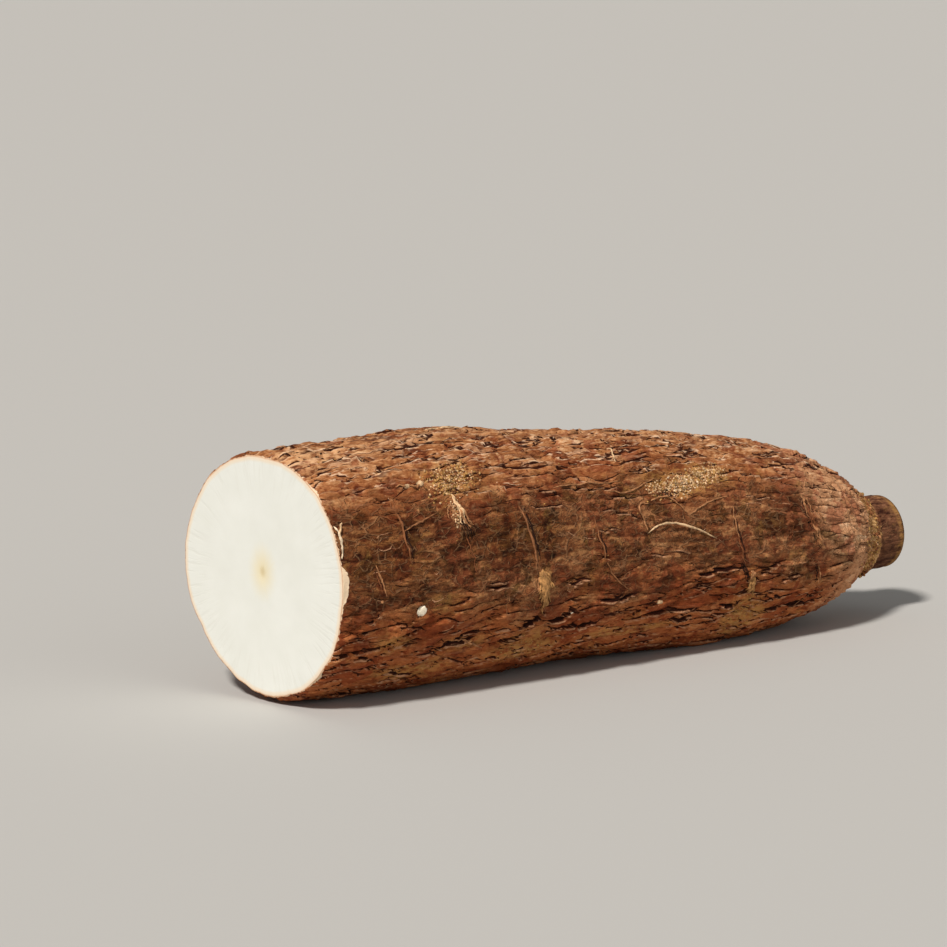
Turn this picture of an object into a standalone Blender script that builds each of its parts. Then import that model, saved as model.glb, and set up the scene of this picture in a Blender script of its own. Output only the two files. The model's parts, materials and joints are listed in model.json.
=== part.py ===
"""The thick half of a cassava root, lying on its side, as one solid.

A knife has cut the root across at its widest part. From that cut the body swells a little, then
narrows over a round shoulder to a collar, where the stub of the neck that joined it to the plant
stands out. The root lies along X with the cut face towards -X. +Z is up and the origin is on the
ground, under the middle of the root.
"""

import math

import bmesh
import bpy
import numpy as np
from mathutils import Matrix, Vector

MM = 0.001

# How the root runs, in millimetres: the distance along it from the cut, the radius of the girth
# there, the height of the middle of the girth over the ground, and its drift to the side.
STATIONS = (
    (-8.0, 30.7, 33.5, 0.0),
    (0.0, 31.0, 33.5, 0.0),
    (11.0, 31.8, 33.5, 0.2),
    (26.0, 32.6, 33.0, 0.5),
    (43.0, 33.0, 32.8, 0.9),
    (64.0, 32.5, 32.6, 1.2),
    (85.0, 30.9, 31.5, 1.2),
    (107.0, 29.8, 30.8, 0.9),
    (128.0, 29.0, 29.8, 0.4),
    (150.0, 27.5, 28.1, 0.0),
    (167.0, 25.8, 27.5, -0.3),
    (180.0, 22.5, 26.3, -0.4),
    (190.0, 18.4, 25.4, -0.3),
    (199.0, 13.2, 25.1, 0.0),
)
# The collar and the stub of the neck: the distance along the root, and the radius.
NECK_STATIONS = (
    (202.6, 11.8),
    (204.0, 11.2),
    (205.2, 10.5),
    (207.0, 10.8),
    (210.0, 10.6),
    (212.8, 10.6),
    (214.2, 9.8),
)
NECK_HEIGHT = 23.2
NECK_DRIFT = 0.3

# The knife went across this far from square, so that the cut face turns towards -Y.
CUT_TURN_DEG = 6.0

# The girth is not quite round: each undulation is its height, how many lobes it has round the
# girth, how far along the root it winds once, and its phase.
UNDULATIONS = (
    (0.45, 2, 190.0, 0.7),
    (0.35, 3, -140.0, 1.1),
    (0.20, 5, 95.0, 2.9),
)
UNDULATIONS_END = 190.0

# Where the root lies on the ground, its underside is pressed flat by this much.
PRESSED_FLAT = 0.6

AROUND = 48
BODY_STEP = 5.0
SHOULDER_START = 172.0
SHOULDER_STEP = 3.0

BARK_COLOUR = (0.19, 0.075, 0.033, 1.0)
BARK_ROUGHNESS = 0.85
FLESH_COLOUR = (0.86, 0.83, 0.74, 1.0)
FLESH_ROUGHNESS = 0.45
BARK_SLOT = 0
FLESH_SLOT = 1
SHARP_ANGLE_DEG = 35.0


def clear_scene():
    for obj in list(bpy.data.objects):
        bpy.data.objects.remove(obj)


def smooth_through(places, values, at):
    """A smooth curve through the values, with the slope at each place taken from its neighbours."""
    slopes = np.gradient(values, places)
    i = int(np.clip(np.searchsorted(places, at) - 1, 0, len(places) - 2))
    span = places[i + 1] - places[i]
    t = (at - places[i]) / span
    return (
        values[i] * (1 + 2 * t) * (1 - t) ** 2
        + slopes[i] * span * t * (1 - t) ** 2
        + values[i + 1] * t * t * (3 - 2 * t)
        - slopes[i + 1] * span * t * t * (1 - t)
    )


def undulation(along, angle):
    """How far the skin stands out from a round girth, in millimetres. It fades out at the shoulder."""
    fade = min(1.0, max(0.0, (UNDULATIONS_END - along) / (UNDULATIONS_END - SHOULDER_START)))
    return fade * sum(
        height * math.sin(lobes * angle + 2 * math.pi * along / winding + phase)
        for height, lobes, winding, phase in UNDULATIONS
    )


def girths():
    """Every ring of the skin: its distance along the root, radius, height and drift."""
    places, radii, heights, drifts = np.array(STATIONS).T
    body = np.arange(places[0], SHOULDER_START, BODY_STEP)
    shoulder = np.arange(SHOULDER_START, places[-1] + SHOULDER_STEP / 2, SHOULDER_STEP)
    for along in np.concatenate([body, shoulder]):
        yield (along, *(smooth_through(places, v, along) for v in (radii, heights, drifts)))
    for along, radius in NECK_STATIONS:
        yield along, radius, NECK_HEIGHT, NECK_DRIFT


def place_ring(ring, angles, along, radius, height, drift):
    """Moves a ring of vertices to its girth."""
    for vert in ring:
        angle = angles[vert]
        reach = radius + undulation(along, angle)
        vert.co = Vector((
            along,
            drift + reach * math.cos(angle),
            height - PRESSED_FLAT + reach * math.sin(angle),
        )) * MM


def skin():
    """The whole root before it is cut: a tube drawn out ring by ring and closed at both ends."""
    bm = bmesh.new()
    across = Matrix.Rotation(math.radians(90), 4, "Y")
    ring = bmesh.ops.create_circle(bm, segments=AROUND, radius=1.0, matrix=across)["verts"]
    angles = {vert: math.atan2(vert.co.z, vert.co.y) for vert in ring}
    edges = list(bm.edges)
    rings = girths()
    place_ring(ring, angles, *next(rings))
    bmesh.ops.contextual_create(bm, geom=edges)
    for girth in rings:
        before = {edge.verts[0].co.copy().freeze(): angles[edge.verts[0]] for edge in edges}
        before.update({edge.verts[1].co.copy().freeze(): angles[edge.verts[1]] for edge in edges})
        made = bmesh.ops.extrude_edge_only(bm, edges=edges)["geom"]
        ring = [part for part in made if isinstance(part, bmesh.types.BMVert)]
        edges = [part for part in made if isinstance(part, bmesh.types.BMEdge) and set(part.verts) <= set(ring)]
        angles = {vert: before[vert.co.copy().freeze()] for vert in ring}
        place_ring(ring, angles, *girth)
    bmesh.ops.contextual_create(bm, geom=edges)
    bmesh.ops.recalc_face_normals(bm, faces=bm.faces)
    return bm


def slice_off(bm, point, outwards):
    """Cuts the solid by a plane, drops what lies outwards of it and closes the cut with one face."""
    cut = bmesh.ops.bisect_plane(
        bm,
        geom=[*bm.verts, *bm.edges, *bm.faces],
        plane_co=point,
        plane_no=outwards,
        clear_outer=True,
    )["geom_cut"]
    rim = [part for part in cut if isinstance(part, bmesh.types.BMEdge)]
    return bmesh.ops.contextual_create(bm, geom=rim)["faces"]


def centre_over_origin(bm):
    """Moves the root so that the origin is under the middle of its bounding box."""
    corners = np.array([vert.co for vert in bm.verts])
    low, high = corners.min(axis=0), corners.max(axis=0)
    middle = (low + high) / 2
    bmesh.ops.translate(bm, verts=bm.verts, vec=Vector((-middle[0], -middle[1], -low[2])))


def material(name, colour, roughness):
    made = bpy.data.materials.new(name)
    made.use_nodes = True
    shader = made.node_tree.nodes["Principled BSDF"]
    shader.inputs["Base Color"].default_value = colour
    shader.inputs["Roughness"].default_value = roughness
    shader.inputs["Metallic"].default_value = 0.0
    return made


def build_root():
    bm = skin()
    turn = math.radians(CUT_TURN_DEG)
    knife = Vector((-math.cos(turn), -math.sin(turn), 0.0))
    for face in slice_off(bm, Vector((0, 0, 0)), knife):
        face.material_index = FLESH_SLOT
    slice_off(bm, Vector((0, 0, 0)), Vector((0, 0, -1)))
    bmesh.ops.recalc_face_normals(bm, faces=bm.faces)
    centre_over_origin(bm)
    mesh = bpy.data.meshes.new("cassava_root")
    bm.to_mesh(mesh)
    bm.free()
    mesh.materials.append(material("cassava bark", BARK_COLOUR, BARK_ROUGHNESS))
    mesh.materials.append(material("cassava flesh", FLESH_COLOUR, FLESH_ROUGHNESS))
    mesh.shade_smooth()
    mesh.set_sharp_from_angle(angle=math.radians(SHARP_ANGLE_DEG))
    root = bpy.data.objects.new("cassava_root", mesh)
    bpy.context.scene.collection.objects.link(root)


clear_scene()
build_root()
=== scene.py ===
# %% [markdown]
# # Half a cassava root
#
# Cassava is a woody shrub, and its food is in its swollen roots. This one was broken off its plant at
# the neck and cut across at its thickest part, so it shows three finishes: papery brown bark that
# splits along the root, the white flesh of the cut, and the wood of the neck.
#
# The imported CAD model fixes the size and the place. This script gives that plain solid its skin. It
# can be read and run cell by cell.

# %% Load the CAD frame
import json
import math

import bmesh
import bpy
import numpy as np
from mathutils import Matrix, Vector
from mathutils.bvhtree import BVHTree


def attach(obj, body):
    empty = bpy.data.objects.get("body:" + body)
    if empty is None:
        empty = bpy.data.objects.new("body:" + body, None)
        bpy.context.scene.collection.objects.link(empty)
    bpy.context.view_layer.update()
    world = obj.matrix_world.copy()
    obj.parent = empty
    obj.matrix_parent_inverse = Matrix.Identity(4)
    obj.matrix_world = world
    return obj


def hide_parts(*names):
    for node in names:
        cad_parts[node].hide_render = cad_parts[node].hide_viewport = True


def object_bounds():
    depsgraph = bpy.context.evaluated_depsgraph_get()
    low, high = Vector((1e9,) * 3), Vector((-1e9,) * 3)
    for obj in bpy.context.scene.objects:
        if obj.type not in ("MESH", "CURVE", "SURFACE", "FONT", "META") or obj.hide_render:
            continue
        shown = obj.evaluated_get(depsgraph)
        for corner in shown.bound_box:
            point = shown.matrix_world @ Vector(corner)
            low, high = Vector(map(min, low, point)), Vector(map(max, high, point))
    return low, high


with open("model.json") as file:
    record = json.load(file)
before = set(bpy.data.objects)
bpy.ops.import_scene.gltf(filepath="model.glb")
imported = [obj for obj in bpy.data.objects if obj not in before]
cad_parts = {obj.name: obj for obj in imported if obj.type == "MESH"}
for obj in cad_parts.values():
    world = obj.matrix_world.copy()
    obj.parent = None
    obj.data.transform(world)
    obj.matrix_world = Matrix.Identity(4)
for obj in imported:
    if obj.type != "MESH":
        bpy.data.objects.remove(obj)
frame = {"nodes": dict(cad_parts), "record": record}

MM = 0.001
FULL_TURN = 2 * math.pi
cad_low, cad_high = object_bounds()
cad_root = frame["nodes"]["cassava_root"]
middle = (cad_low + cad_high) / 2
print("CAD size in mm:", [round(side / MM, 1) for side in cad_high - cad_low])

# %% [markdown]
# ## Camera, floor and light
#
# A long lens keeps the root's proportions natural. The camera stands to the left of the cut face and
# a little above the surface, so the white end and the whole flank are seen together.

# %% Camera
CAMERA_TURN = math.radians(-37.04)
CAMERA_RISE = math.radians(8.5)
CAMERA_DISTANCE = 0.8942
LENS_MM = 129.25
AIM = Vector((-0.0389, -0.0005, 0.0528))

look_at = Vector((middle.x, middle.y, 0.0)) + AIM
backwards = Vector((
    math.sin(CAMERA_TURN) * math.cos(CAMERA_RISE),
    -math.cos(CAMERA_TURN) * math.cos(CAMERA_RISE),
    math.sin(CAMERA_RISE),
))
camera = bpy.data.objects.new("camera", bpy.data.cameras.new("camera"))
camera.data.lens = LENS_MM
camera.data.sensor_width = 36.0
camera.data.clip_end = 200.0
camera.location = look_at + backwards * CAMERA_DISTANCE
camera.rotation_euler = backwards.to_track_quat("Z", "Y").to_euler()
bpy.context.scene.collection.objects.link(camera)
bpy.context.scene.camera = camera
print("camera in mm:", [round(place / MM) for place in camera.location])

# %% [markdown]
# Colours are written as the hex values that a paint program shows. Blender's sockets want linear
# light, so one function turns them. Another adds a node to a tree with its settings and links. Its
# inputs go in by name, or in order where the order says enough: the map range node takes a value and
# the four ends of its two ranges. The mixing node hides inputs for other kinds of value between the
# ones in use, so its colours go in by number.

# %% Colour and node helpers
MATH = "ShaderNodeMath"
VECTOR_MATH = "ShaderNodeVectorMath"
MAP_RANGE = "ShaderNodeMapRange"
NOISE = "ShaderNodeTexNoise"
MIX = "ShaderNodeMix"
ADD = {"operation": "ADD"}
SUBTRACT = {"operation": "SUBTRACT"}
MULTIPLY = {"operation": "MULTIPLY"}
MULTIPLY_ADD = {"operation": "MULTIPLY_ADD"}
MINIMUM = {"operation": "MINIMUM"}
MAXIMUM = {"operation": "MAXIMUM"}
SMOOTH = {"interpolation_type": "SMOOTHSTEP"}
MIX_UNDER = 6
MIX_OVER = 7
MIX_RESULT = 2


def linear(hex_colour):
    """An sRGB hex colour, such as '#c8a070', as linear red, green, blue and alpha."""
    parts = [int(hex_colour[i : i + 2], 16) / 255 for i in (1, 3, 5)]
    return (*(p / 12.92 if p <= 0.04045 else ((p + 0.055) / 1.055) ** 2.4 for p in parts), 1.0)


def add_node(tree, kind, settings=None, inputs=()):
    """A new node. Settings are its properties. An input is a value, or a socket or node to link.

    Inputs are a dictionary, or a tuple in the node's own order. A node stands for its first output.
    """
    node = tree.nodes.new(kind)
    for name, value in (settings or {}).items():
        setattr(node, name, value)
    for name, value in inputs.items() if isinstance(inputs, dict) else enumerate(inputs):
        if isinstance(value, bpy.types.Node):
            value = value.outputs[0]
        if isinstance(value, bpy.types.NodeSocket):
            tree.links.new(value, node.inputs[name])
        else:
            node.inputs[name].default_value = value
    return node


def new_material(name):
    """A material with nodes: itself, its node tree, and the shader that its output shows."""
    made = bpy.data.materials.new(name)
    made.use_nodes = True
    return made, made.node_tree, made.node_tree.nodes["Principled BSDF"]


# %% [markdown]
# The floor is a sheet of pale matt board, so wide that it runs to the horizon. Both lights are suns
# with a wide disc, which stand for big soft lamps far away: they light all of the floor alike and
# still draw the relief of the bark. The key comes from the upper left, along the cut face and the top
# of the root. A weak, very wide fill stands near the camera, so that the flank isn't lost in its own
# shade. The pale world fills what is left.

# %% Floor, lights and world
bm = bmesh.new()
bmesh.ops.create_grid(bm, x_segments=1, y_segments=1, size=90.0)
floor_mesh = bpy.data.meshes.new("floor")
bm.to_mesh(floor_mesh)
bm.free()
floor = bpy.data.objects.new("floor", floor_mesh)
bpy.context.scene.collection.objects.link(floor)
board, tree, shader = new_material("pale matt board")
shader.inputs["Base Color"].default_value = linear("#c2c1be")
shader.inputs["Roughness"].default_value = 0.9
shader.inputs["Specular IOR Level"].default_value = 0.1
floor_mesh.materials.append(board)

for name, comes_from, energy, disc_deg, colour in (
    ("key light", (-0.6, -0.32, 0.73), 3.4, 8, "#fff9f2"),
    ("fill light", (0.25, -0.93, 0.2), 0.5, 60, "#ffffff"),
):
    light = bpy.data.objects.new(name, bpy.data.lights.new(name, "SUN"))
    light.data.energy = energy
    light.data.angle = math.radians(disc_deg)
    light.data.color = linear(colour)[:3]
    light.rotation_euler = Vector(comes_from).to_track_quat("Z", "Y").to_euler()
    bpy.context.scene.collection.objects.link(light)

world = bpy.data.worlds.new("studio")
world.use_nodes = True
world.node_tree.nodes["Background"].inputs["Color"].default_value = linear("#f8f6f3")
world.node_tree.nodes["Background"].inputs["Strength"].default_value = 0.24
bpy.context.scene.world = world
bpy.context.scene.view_settings.view_transform = "Standard"

# %% [markdown]
# ## Measuring the CAD root
#
# The visual skin has to lie where the CAD surface lies. Straight probes are shot from the root's
# centre line to the inside of the CAD solid, in every direction and at every millimetre. The record
# says where the knife cut, as the mount on the cut face.

# %% Probe the CAD solid
merged = bmesh.new()
merged.from_mesh(cad_root.data)
bmesh.ops.remove_doubles(merged, verts=merged.verts, dist=1e-6)
cad_surface = BVHTree.FromBMesh(merged)
merged.free()

cut = next(mount for mount in frame["record"]["mounts"] if mount["name"] == "cut_face")
cut_x = cut["pos_m"][0] / MM
cut_y = cut["pos_m"][1] / MM
CUT_LEAN = cut["axis"][1] / cut["axis"][0]

PROBE_ANGLES = 144
PROBE_STEP = 1.0
WHOLE_GIRTH_FROM = 4.0
INSIDE_HEIGHT = 28.0
root_length = cad_high.x / MM - cut_x
stations = np.arange(WHOLE_GIRTH_FROM, root_length - 0.3, PROBE_STEP)


def reach(x, y, z, direction):
    """How far it is, in mm, from a point inside the CAD solid to its surface."""
    return cad_surface.ray_cast(Vector((x, y, z)) * MM, Vector(direction))[3] / MM


centres = []
for along in stations:
    x = cut_x + along
    over = reach(x, 0, INSIDE_HEIGHT, (0, 0, 1))
    under = reach(x, 0, INSIDE_HEIGHT, (0, 0, -1))
    centre_z = INSIDE_HEIGHT + (over - under) / 2
    centre_y = (reach(x, 0, centre_z, (0, 1, 0)) - reach(x, 0, centre_z, (0, -1, 0))) / 2
    centres.append((centre_y, centre_z))
centres = np.array(centres)

probe_turns = np.arange(PROBE_ANGLES) * FULL_TURN / PROBE_ANGLES
radii = np.array([
    [reach(cut_x + along, y, z, (0, math.cos(turn), math.sin(turn))) for turn in probe_turns]
    for along, (y, z) in zip(stations, centres)
])
# The CAD solid has flat facets. A short average round the girth smooths them away.
radii = (np.roll(radii, 1, axis=1) + 2 * radii + np.roll(radii, -1, axis=1)) / 4
print("probed", radii.size, "places; mean radius in mm:", round(float(radii.mean()), 2))

# %% [markdown]
# Two tables now hold the shape. A place on the skin is named by two numbers that suit a root: how far
# it is along from the cut, in millimetres, and its turn round the girth. Turn 0 is at +Y, a quarter
# turn is the top, half a turn faces the camera's side, and three quarters is the underside.

# %% Read a place on the root


def smooth_step(start, end, value):
    """0 before start, 1 after end, and a smooth rise between."""
    t = np.clip((value - start) / (end - start), 0, 1)
    return t * t * (3 - 2 * t)


def between(sheet, row, column, part_row, part_column):
    """A sheet's value between four of its places. The columns close round the root."""
    next_column = (column + 1) % sheet.shape[1]
    here = sheet[row, column] * (1 - part_column) + sheet[row, next_column] * part_column
    there = sheet[row + 1, column] * (1 - part_column) + sheet[row + 1, next_column] * part_column
    return here + (there - here) * part_row


def radius_at(along, turn):
    """The CAD radius in mm at a distance along and a turn, for arrays of any one shape."""
    row = (along - stations[0]) / PROBE_STEP
    low_row = np.clip(np.floor(row).astype(int), 0, len(stations) - 2)
    column = (turn % 1.0) * PROBE_ANGLES
    low_column = np.floor(column).astype(int) % PROBE_ANGLES
    part_row = np.clip(row - low_row, -12.0, 1.0)
    return between(radii, low_row, low_column, part_row, column - np.floor(column))


def cad_place(along, turn):
    """Points in mm on the CAD skin. Near the cut the girths lean, so that the first is its edge."""
    lean_back = 1 - smooth_step(0, 35, along)
    radius = radius_at(along, turn)
    y = np.interp(along, stations, centres[:, 0]) + radius * np.cos(FULL_TURN * turn)
    z = np.interp(along, stations, centres[:, 1]) + radius * np.sin(FULL_TURN * turn)
    x = cut_x + along - CUT_LEAN * (y - cut_y) * lean_back
    return np.stack([x, y, z], axis=-1)


# %% [markdown]
# ## Laying out the bark
#
# The bark is one sheet, rolled round the root: a grid of rings by steps. Bark splits along the root,
# so its detail is long and thin, and the grid's cells are long and thin too: 1.75 mm along and a third
# of a millimetre round. The rings stand closer at the cut's edge and at the neck, where the detail
# changes quickly.

# %% The rings of the sheet
AROUND = 600
EDGE_RINGS = (0.0, 0.25, 0.55, 0.9, 1.35, 1.9, 2.6, 3.5, 4.6)
BODY_FROM = 6.0
BODY_GAP = 1.75
NECK_FROM = 180.0
NECK_GAP = 0.75

body_rings = np.linspace(BODY_FROM, NECK_FROM, round((NECK_FROM - BODY_FROM) / BODY_GAP) + 1)
neck_rings = np.linspace(NECK_FROM, root_length, round((root_length - NECK_FROM) / NECK_GAP) + 1)
ring_places = np.concatenate([EDGE_RINGS, body_rings, neck_rings[1:]])
along = np.repeat(ring_places[:, None], AROUND, axis=1)
turn = np.repeat(np.arange(AROUND)[None, :] / AROUND, len(ring_places), axis=0)
angle = turn * 360
base = cad_place(along, turn)
run = np.gradient(base, axis=0)
round_about = (np.roll(base, -1, axis=1) - np.roll(base, 1, axis=1)) / 2
normals = np.cross(round_about, run)
normals /= np.linalg.norm(normals, axis=-1, keepdims=True)
girth_at_ring = FULL_TURN * radius_at(along, turn).mean(axis=1)
GIRTH = float(girth_at_ring[: len(body_rings)].mean())
print("bark sheet:", len(ring_places), "rings of", AROUND, "steps; girth in mm:", round(GIRTH))

# %% [markdown]
# Noise on that sheet has to meet itself where the sheet closes round the root, so its lattice has a
# whole number of cells in one turn. Two kinds are needed. Hills are smooth. Plates are the cells
# round scattered points, long along the root, as bark breaks up when the root under it swells. For
# the plates, the distance to their borders is worked out in real millimetres, because the borders
# will open as cracks.

# %% Noise that closes round the root
LATTICE_ROWS = 512
ROWS_BEFORE = 40


def hills(along, turn, cell, cells_round, seed):
    """Gradient noise of about -1 to 1. A cell is so many mm long, with so many cells in one turn."""
    rng = np.random.default_rng(seed)
    slope = rng.uniform(0, FULL_TURN, (LATTICE_ROWS, cells_round))
    a = along / cell + ROWS_BEFORE
    b = (turn % 1.0) * cells_round
    i = np.floor(a).astype(int)
    j = np.floor(b).astype(int)
    part_a, part_b = a - i, b - j
    total = 0
    for next_a in (0, 1):
        for next_b in (0, 1):
            lean = slope[(i + next_a) % LATTICE_ROWS, (j + next_b) % cells_round]
            weight_a = smooth_step(0, 1, part_a if next_a else 1 - part_a)
            weight_b = smooth_step(0, 1, part_b if next_b else 1 - part_b)
            height = np.cos(lean) * (part_a - next_a) + np.sin(lean) * (part_b - next_b)
            total = total + height * weight_a * weight_b
    return total * 1.5


def rough(along, turn, cell, cells_round, seed, layers=3):
    """Hills with finer hills on them, each layer half as long and half as high."""
    return sum(
        hills(along, turn, cell / 2**layer, cells_round * 2**layer, seed + layer) / 2**layer
        for layer in range(layers)
    )


def plates(along, turn, length, plates_round, seed, slant=0.0):
    """Long cells round scattered points, slanted by so many mm per mm.

    Returns the distance to the border in mm, how nearly the border runs along the root, on which
    side of the plate it is, the place across the plate from -0.5 to 0.5, and a number for the plate.
    """
    width = GIRTH / plates_round
    rng = np.random.default_rng(seed)
    jitter = rng.uniform(0.08, 0.92, (LATTICE_ROWS, plates_round, 2))
    a = along / length + ROWS_BEFORE
    b = (turn % 1.0) * plates_round
    i = np.floor(a).astype(int)
    j = np.floor(b).astype(int)
    nearest = np.full(a.shape, 99.0)
    second = np.full(a.shape, 99.0)
    off_nearest = np.zeros((2, *a.shape))
    off_second = np.zeros((2, *a.shape))
    number = np.zeros(a.shape, int)
    for di in (-1, 0, 1):
        for dj in (-2, -1, 0, 1, 2):
            row, column = (i + di) % LATTICE_ROWS, (j + dj) % plates_round
            off_a = a - (i + di) - jitter[row, column, 0]
            off_b = b - (j + dj) - jitter[row, column, 1] - slant * off_a * length / width
            distance = off_a**2 + off_b**2
            off = np.stack([off_a, off_b])
            closer = distance < nearest
            runner_up = ~closer & (distance < second)
            second = np.where(closer, nearest, np.where(runner_up, distance, second))
            off_second = np.where(closer, off_nearest, np.where(runner_up, off, off_second))
            nearest = np.where(closer, distance, nearest)
            off_nearest = np.where(closer, off, off_nearest)
            number = np.where(closer, row * plates_round + column, number)
    gap = off_second - off_nearest
    steep = np.hypot(gap[0] / length, gap[1] / width) + 1e-9
    border = (second - nearest) / (2 * steep)
    lengthwise = np.abs(gap[1] / width) / steep
    return border, lengthwise, np.sign(-gap[1]), off_nearest[1], number


def band(value, start, end, soft):
    """1 between start and end, 0 outside, with soft edges."""
    return smooth_step(start - soft, start + soft, value) * (1 - smooth_step(end - soft, end + soft, value))


# %% [markdown]
# ## Where the bark is scaly and where it is smooth
#
# The bark isn't the same all over. On top it is dry, orange-tan, and split into long scales, and its
# palette is lighter, partly as painted light from above. On the flank it has been rubbed down to a
# smoother, darker layer with fine veins, and that darkness is partly painted shade. Low down it is
# red-brown and cracked into short plates. Toward the neck it is worn. One number for each place,
# between 0 and 1, says how much of each kind is there. A soft wobble is added to the angle first, so
# that no kind ends in a straight line.

# %% Kinds of bark
wide_wobble = rough(along, turn, 24, 8, 11)
fine_wobble = rough(along, turn, 7, 30, 14)
leaned = angle + 12 * wide_wobble + 9 * fine_wobble
dry_and_painted_light = band(leaned, 24, 134, 14)
smooth = band(leaned, 140, 194, 15)
smooth = np.maximum(smooth, 0.85 * band(leaned, 296, 352, 9) * band(along + 9 * wide_wobble, 30, 160, 14))
shoulder_from = 152 + 14 * band(angle, 165, 330, 25)
shoulder = smooth_step(0, 24, along - shoulder_from + 6 * wide_wobble)
collar = band(along + 0.7 * fine_wobble, 195.5, 205.0, 0.8)
neck = smooth_step(204.6, 205.6, along + 0.3 * fine_wobble)
smooth = smooth * (1 - 0.5 * shoulder)
scales = (1 - 0.75 * smooth) * (1 - 0.2 * shoulder) * (1 - neck)
print("share of the bark that is dry:", round(float(dry_and_painted_light.mean()), 2))
print("share of the bark that is smooth:", round(float(smooth.mean()), 2))

# %% [markdown]
# Stains, worn spots and patches of painted shade belong to this one root, so they are listed one by
# one. Each is an oval with a rough edge: how strong it is, its distance along in mm, its angle in
# degrees, and its length and width in mm.

# %% Stains, worn spots and painted shade


def patch(at, at_angle, length, width, soft=0.5):
    """1 inside an oval of so many mm round a place, and 0 outside it."""
    da = (along - at) / (length / 2)
    db = ((angle - at_angle + 180) % 360 - 180) / 360 * girth_at_ring[:, None] / (width / 2)
    return 1 - smooth_step(1 - soft, 1 + soft, np.hypot(da, db) + 0.35 * fine_wobble)


def patches(spots, soft=0.5):
    """The strongest of several patches at every place."""
    return np.max([strength * patch(*oval, soft) for strength, *oval in spots], axis=0)


ochre = patches((
    (0.8, 65.5, 224, 20, 12), (0.8, 101, 222, 29, 4), (0.9, 142, 220, 13, 15), (0.8, 43.5, 133, 19, 10),
    (0.7, 122, 139, 31, 8), (0.5, 34, 190, 12, 5), (0.6, 45, 214, 14, 5), (1.0, 118, 142.5, 18, 6),
    (1.0, 129, 136, 16, 6), (0.7, 18, 207, 10, 6), (0.8, 30, 228, 22, 8),
))
ochre = np.maximum(ochre, 0.6 * smooth_step(211.6, 213.0, along + 0.5 * fine_wobble))
purple = patches((
    (1.0, 69.7, 147, 10, 3.5), (0.8, 158.5, 159, 15, 19), (0.6, 92, 152, 30, 6), (0.5, 36, 203, 18, 8),
    (0.6, 120, 205, 20, 7), (0.6, 6, 192, 11, 13), (0.8, 68, 200, 12, 6), (0.7, 80, 208, 16, 6),
    (0.8, 12, 226, 24, 7),
))
worn = patches((
    (0.7, 178, 117.5, 12, 2.5), (0.9, 12, 106, 34, 14), (0.6, 58, 96, 60, 8), (0.4, 120, 100, 60, 10),
))
worn = np.maximum(worn, 0.1 * shoulder * (1 - neck))
# Painted shade: darker patches on the flank, and one low on the far side, glazed over the bark.
painted_shade_patches = patches((
    (1.0, 12, 166, 40, 24), (0.7, 22, 176, 30, 16), (1.0, 58, 165, 40, 16), (0.5, 92, 173, 26, 14),
    (0.6, 122, 172, 20, 12), (0.6, 60, 320, 80, 24),
), soft=0.8)
SHEETS = {
    "dry_and_painted_light": dry_and_painted_light, "smooth": smooth, "shoulder": shoulder, "collar": collar, "neck": neck,
    "ochre": ochre, "purple": purple, "worn": worn, "painted_shade_patches": painted_shade_patches,
}
print("mean of each sheet:", {name: round(float(sheet.mean()), 2) for name, sheet in SHEETS.items()})

# %% [markdown]
# ## Relief
#
# The relief is a height in millimetres over the CAD surface. Low swellings come first. Then each
# plate tilts its own way, and wrinkles run between them. The plates and wrinkles are read at a place
# that is bent a little, because straight cells would look made.

# %% Swellings, plates and wrinkles
PLATES_ROUND = 56
SMALL_PLATES_ROUND = 128

slant = -0.27 * band(leaned, 188, 262, 12) + 0.05 * wide_wobble
bent_along = along + 1.6 * hills(along, turn, 13, 15, 21)
bent_turn = turn + (1.1 * hills(along, turn, 15, 16, 22) + 0.45 * hills(along, turn, 5, 44, 23)) / GIRTH

rng = np.random.default_rng(41)
border, lengthwise, side, across, number = plates(bent_along, bent_turn, 13.0, PLATES_ROUND, 42, slant)
plate_tilt = rng.normal(-0.1, 0.8, LATTICE_ROWS * PLATES_ROUND)[number]
plate_level = rng.normal(0, 1, LATTICE_ROWS * PLATES_ROUND)[number]
# Each plate has a random tone of its own and painted shade across it: lighter along its edge of lower turn,
# the upper edge on the camera's side, and darker along the other, as light from above falls on a tilted
# plate.
shade = rng.uniform(-0.6, 0.6, LATTICE_ROWS * PLATES_ROUND)[number] - 1.4 * across
# Painted shade: the bark is darker under one crust of crumbs, in the gaps between them.
shade = shade - 3.5 * patch(110.5, 138, 5, 4.5)
small_border, small_lengthwise, small_side, small_across, small_number = plates(
    bent_along, bent_turn, 4.6, SMALL_PLATES_ROUND, 43, slant,
)
small_tilt = rng.normal(0.3, 0.8, LATTICE_ROWS * SMALL_PLATES_ROUND)[small_number]

relief = 0.36 * hills(along, turn, 30, 5, 31) + 0.24 * hills(along, turn, 11, 18, 32)
relief += 0.12 * hills(along, turn, 6, 40, 33)
rounded = 0.32 * smooth_step(0.0, 0.8, border) * smooth_step(0.5, 0.9, lengthwise)
tilted = 0.8 * plate_tilt * across + 0.3 * small_tilt * small_across
relief += scales * (tilted + rounded + 0.16 * plate_level)
wrinkle = 1 - 2 * np.abs(hills(bent_along, bent_turn, 9, 80, 51))
short_wrinkle = 1 - 2 * np.abs(hills(bent_along, bent_turn, 4.5, 90, 54))
relief += 0.14 * wrinkle * (0.15 + 0.85 * scales) + 0.1 * short_wrinkle
relief += 0.05 * rough(bent_along, bent_turn, 3.6, 110, 52)
print("relief so far in mm:", round(float(relief.min()), 2), "to", round(float(relief.max()), 2))

# %% [markdown]
# The dry bark is made of thin layers, like paper, that have worn through in turn. A layer's edge is
# where a slow noise passes a whole number, which gives long wandering outlines that never cross. The
# noise divided by its slope is the distance to that edge in mm, so the step can be thin and sharp.
# On the shoulder the edges run round the root instead, so there the noise follows the length.

# %% Layers with torn edges
LAYERS_PER_HILL = 1.3
ARC_GAP = 3.2


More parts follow.
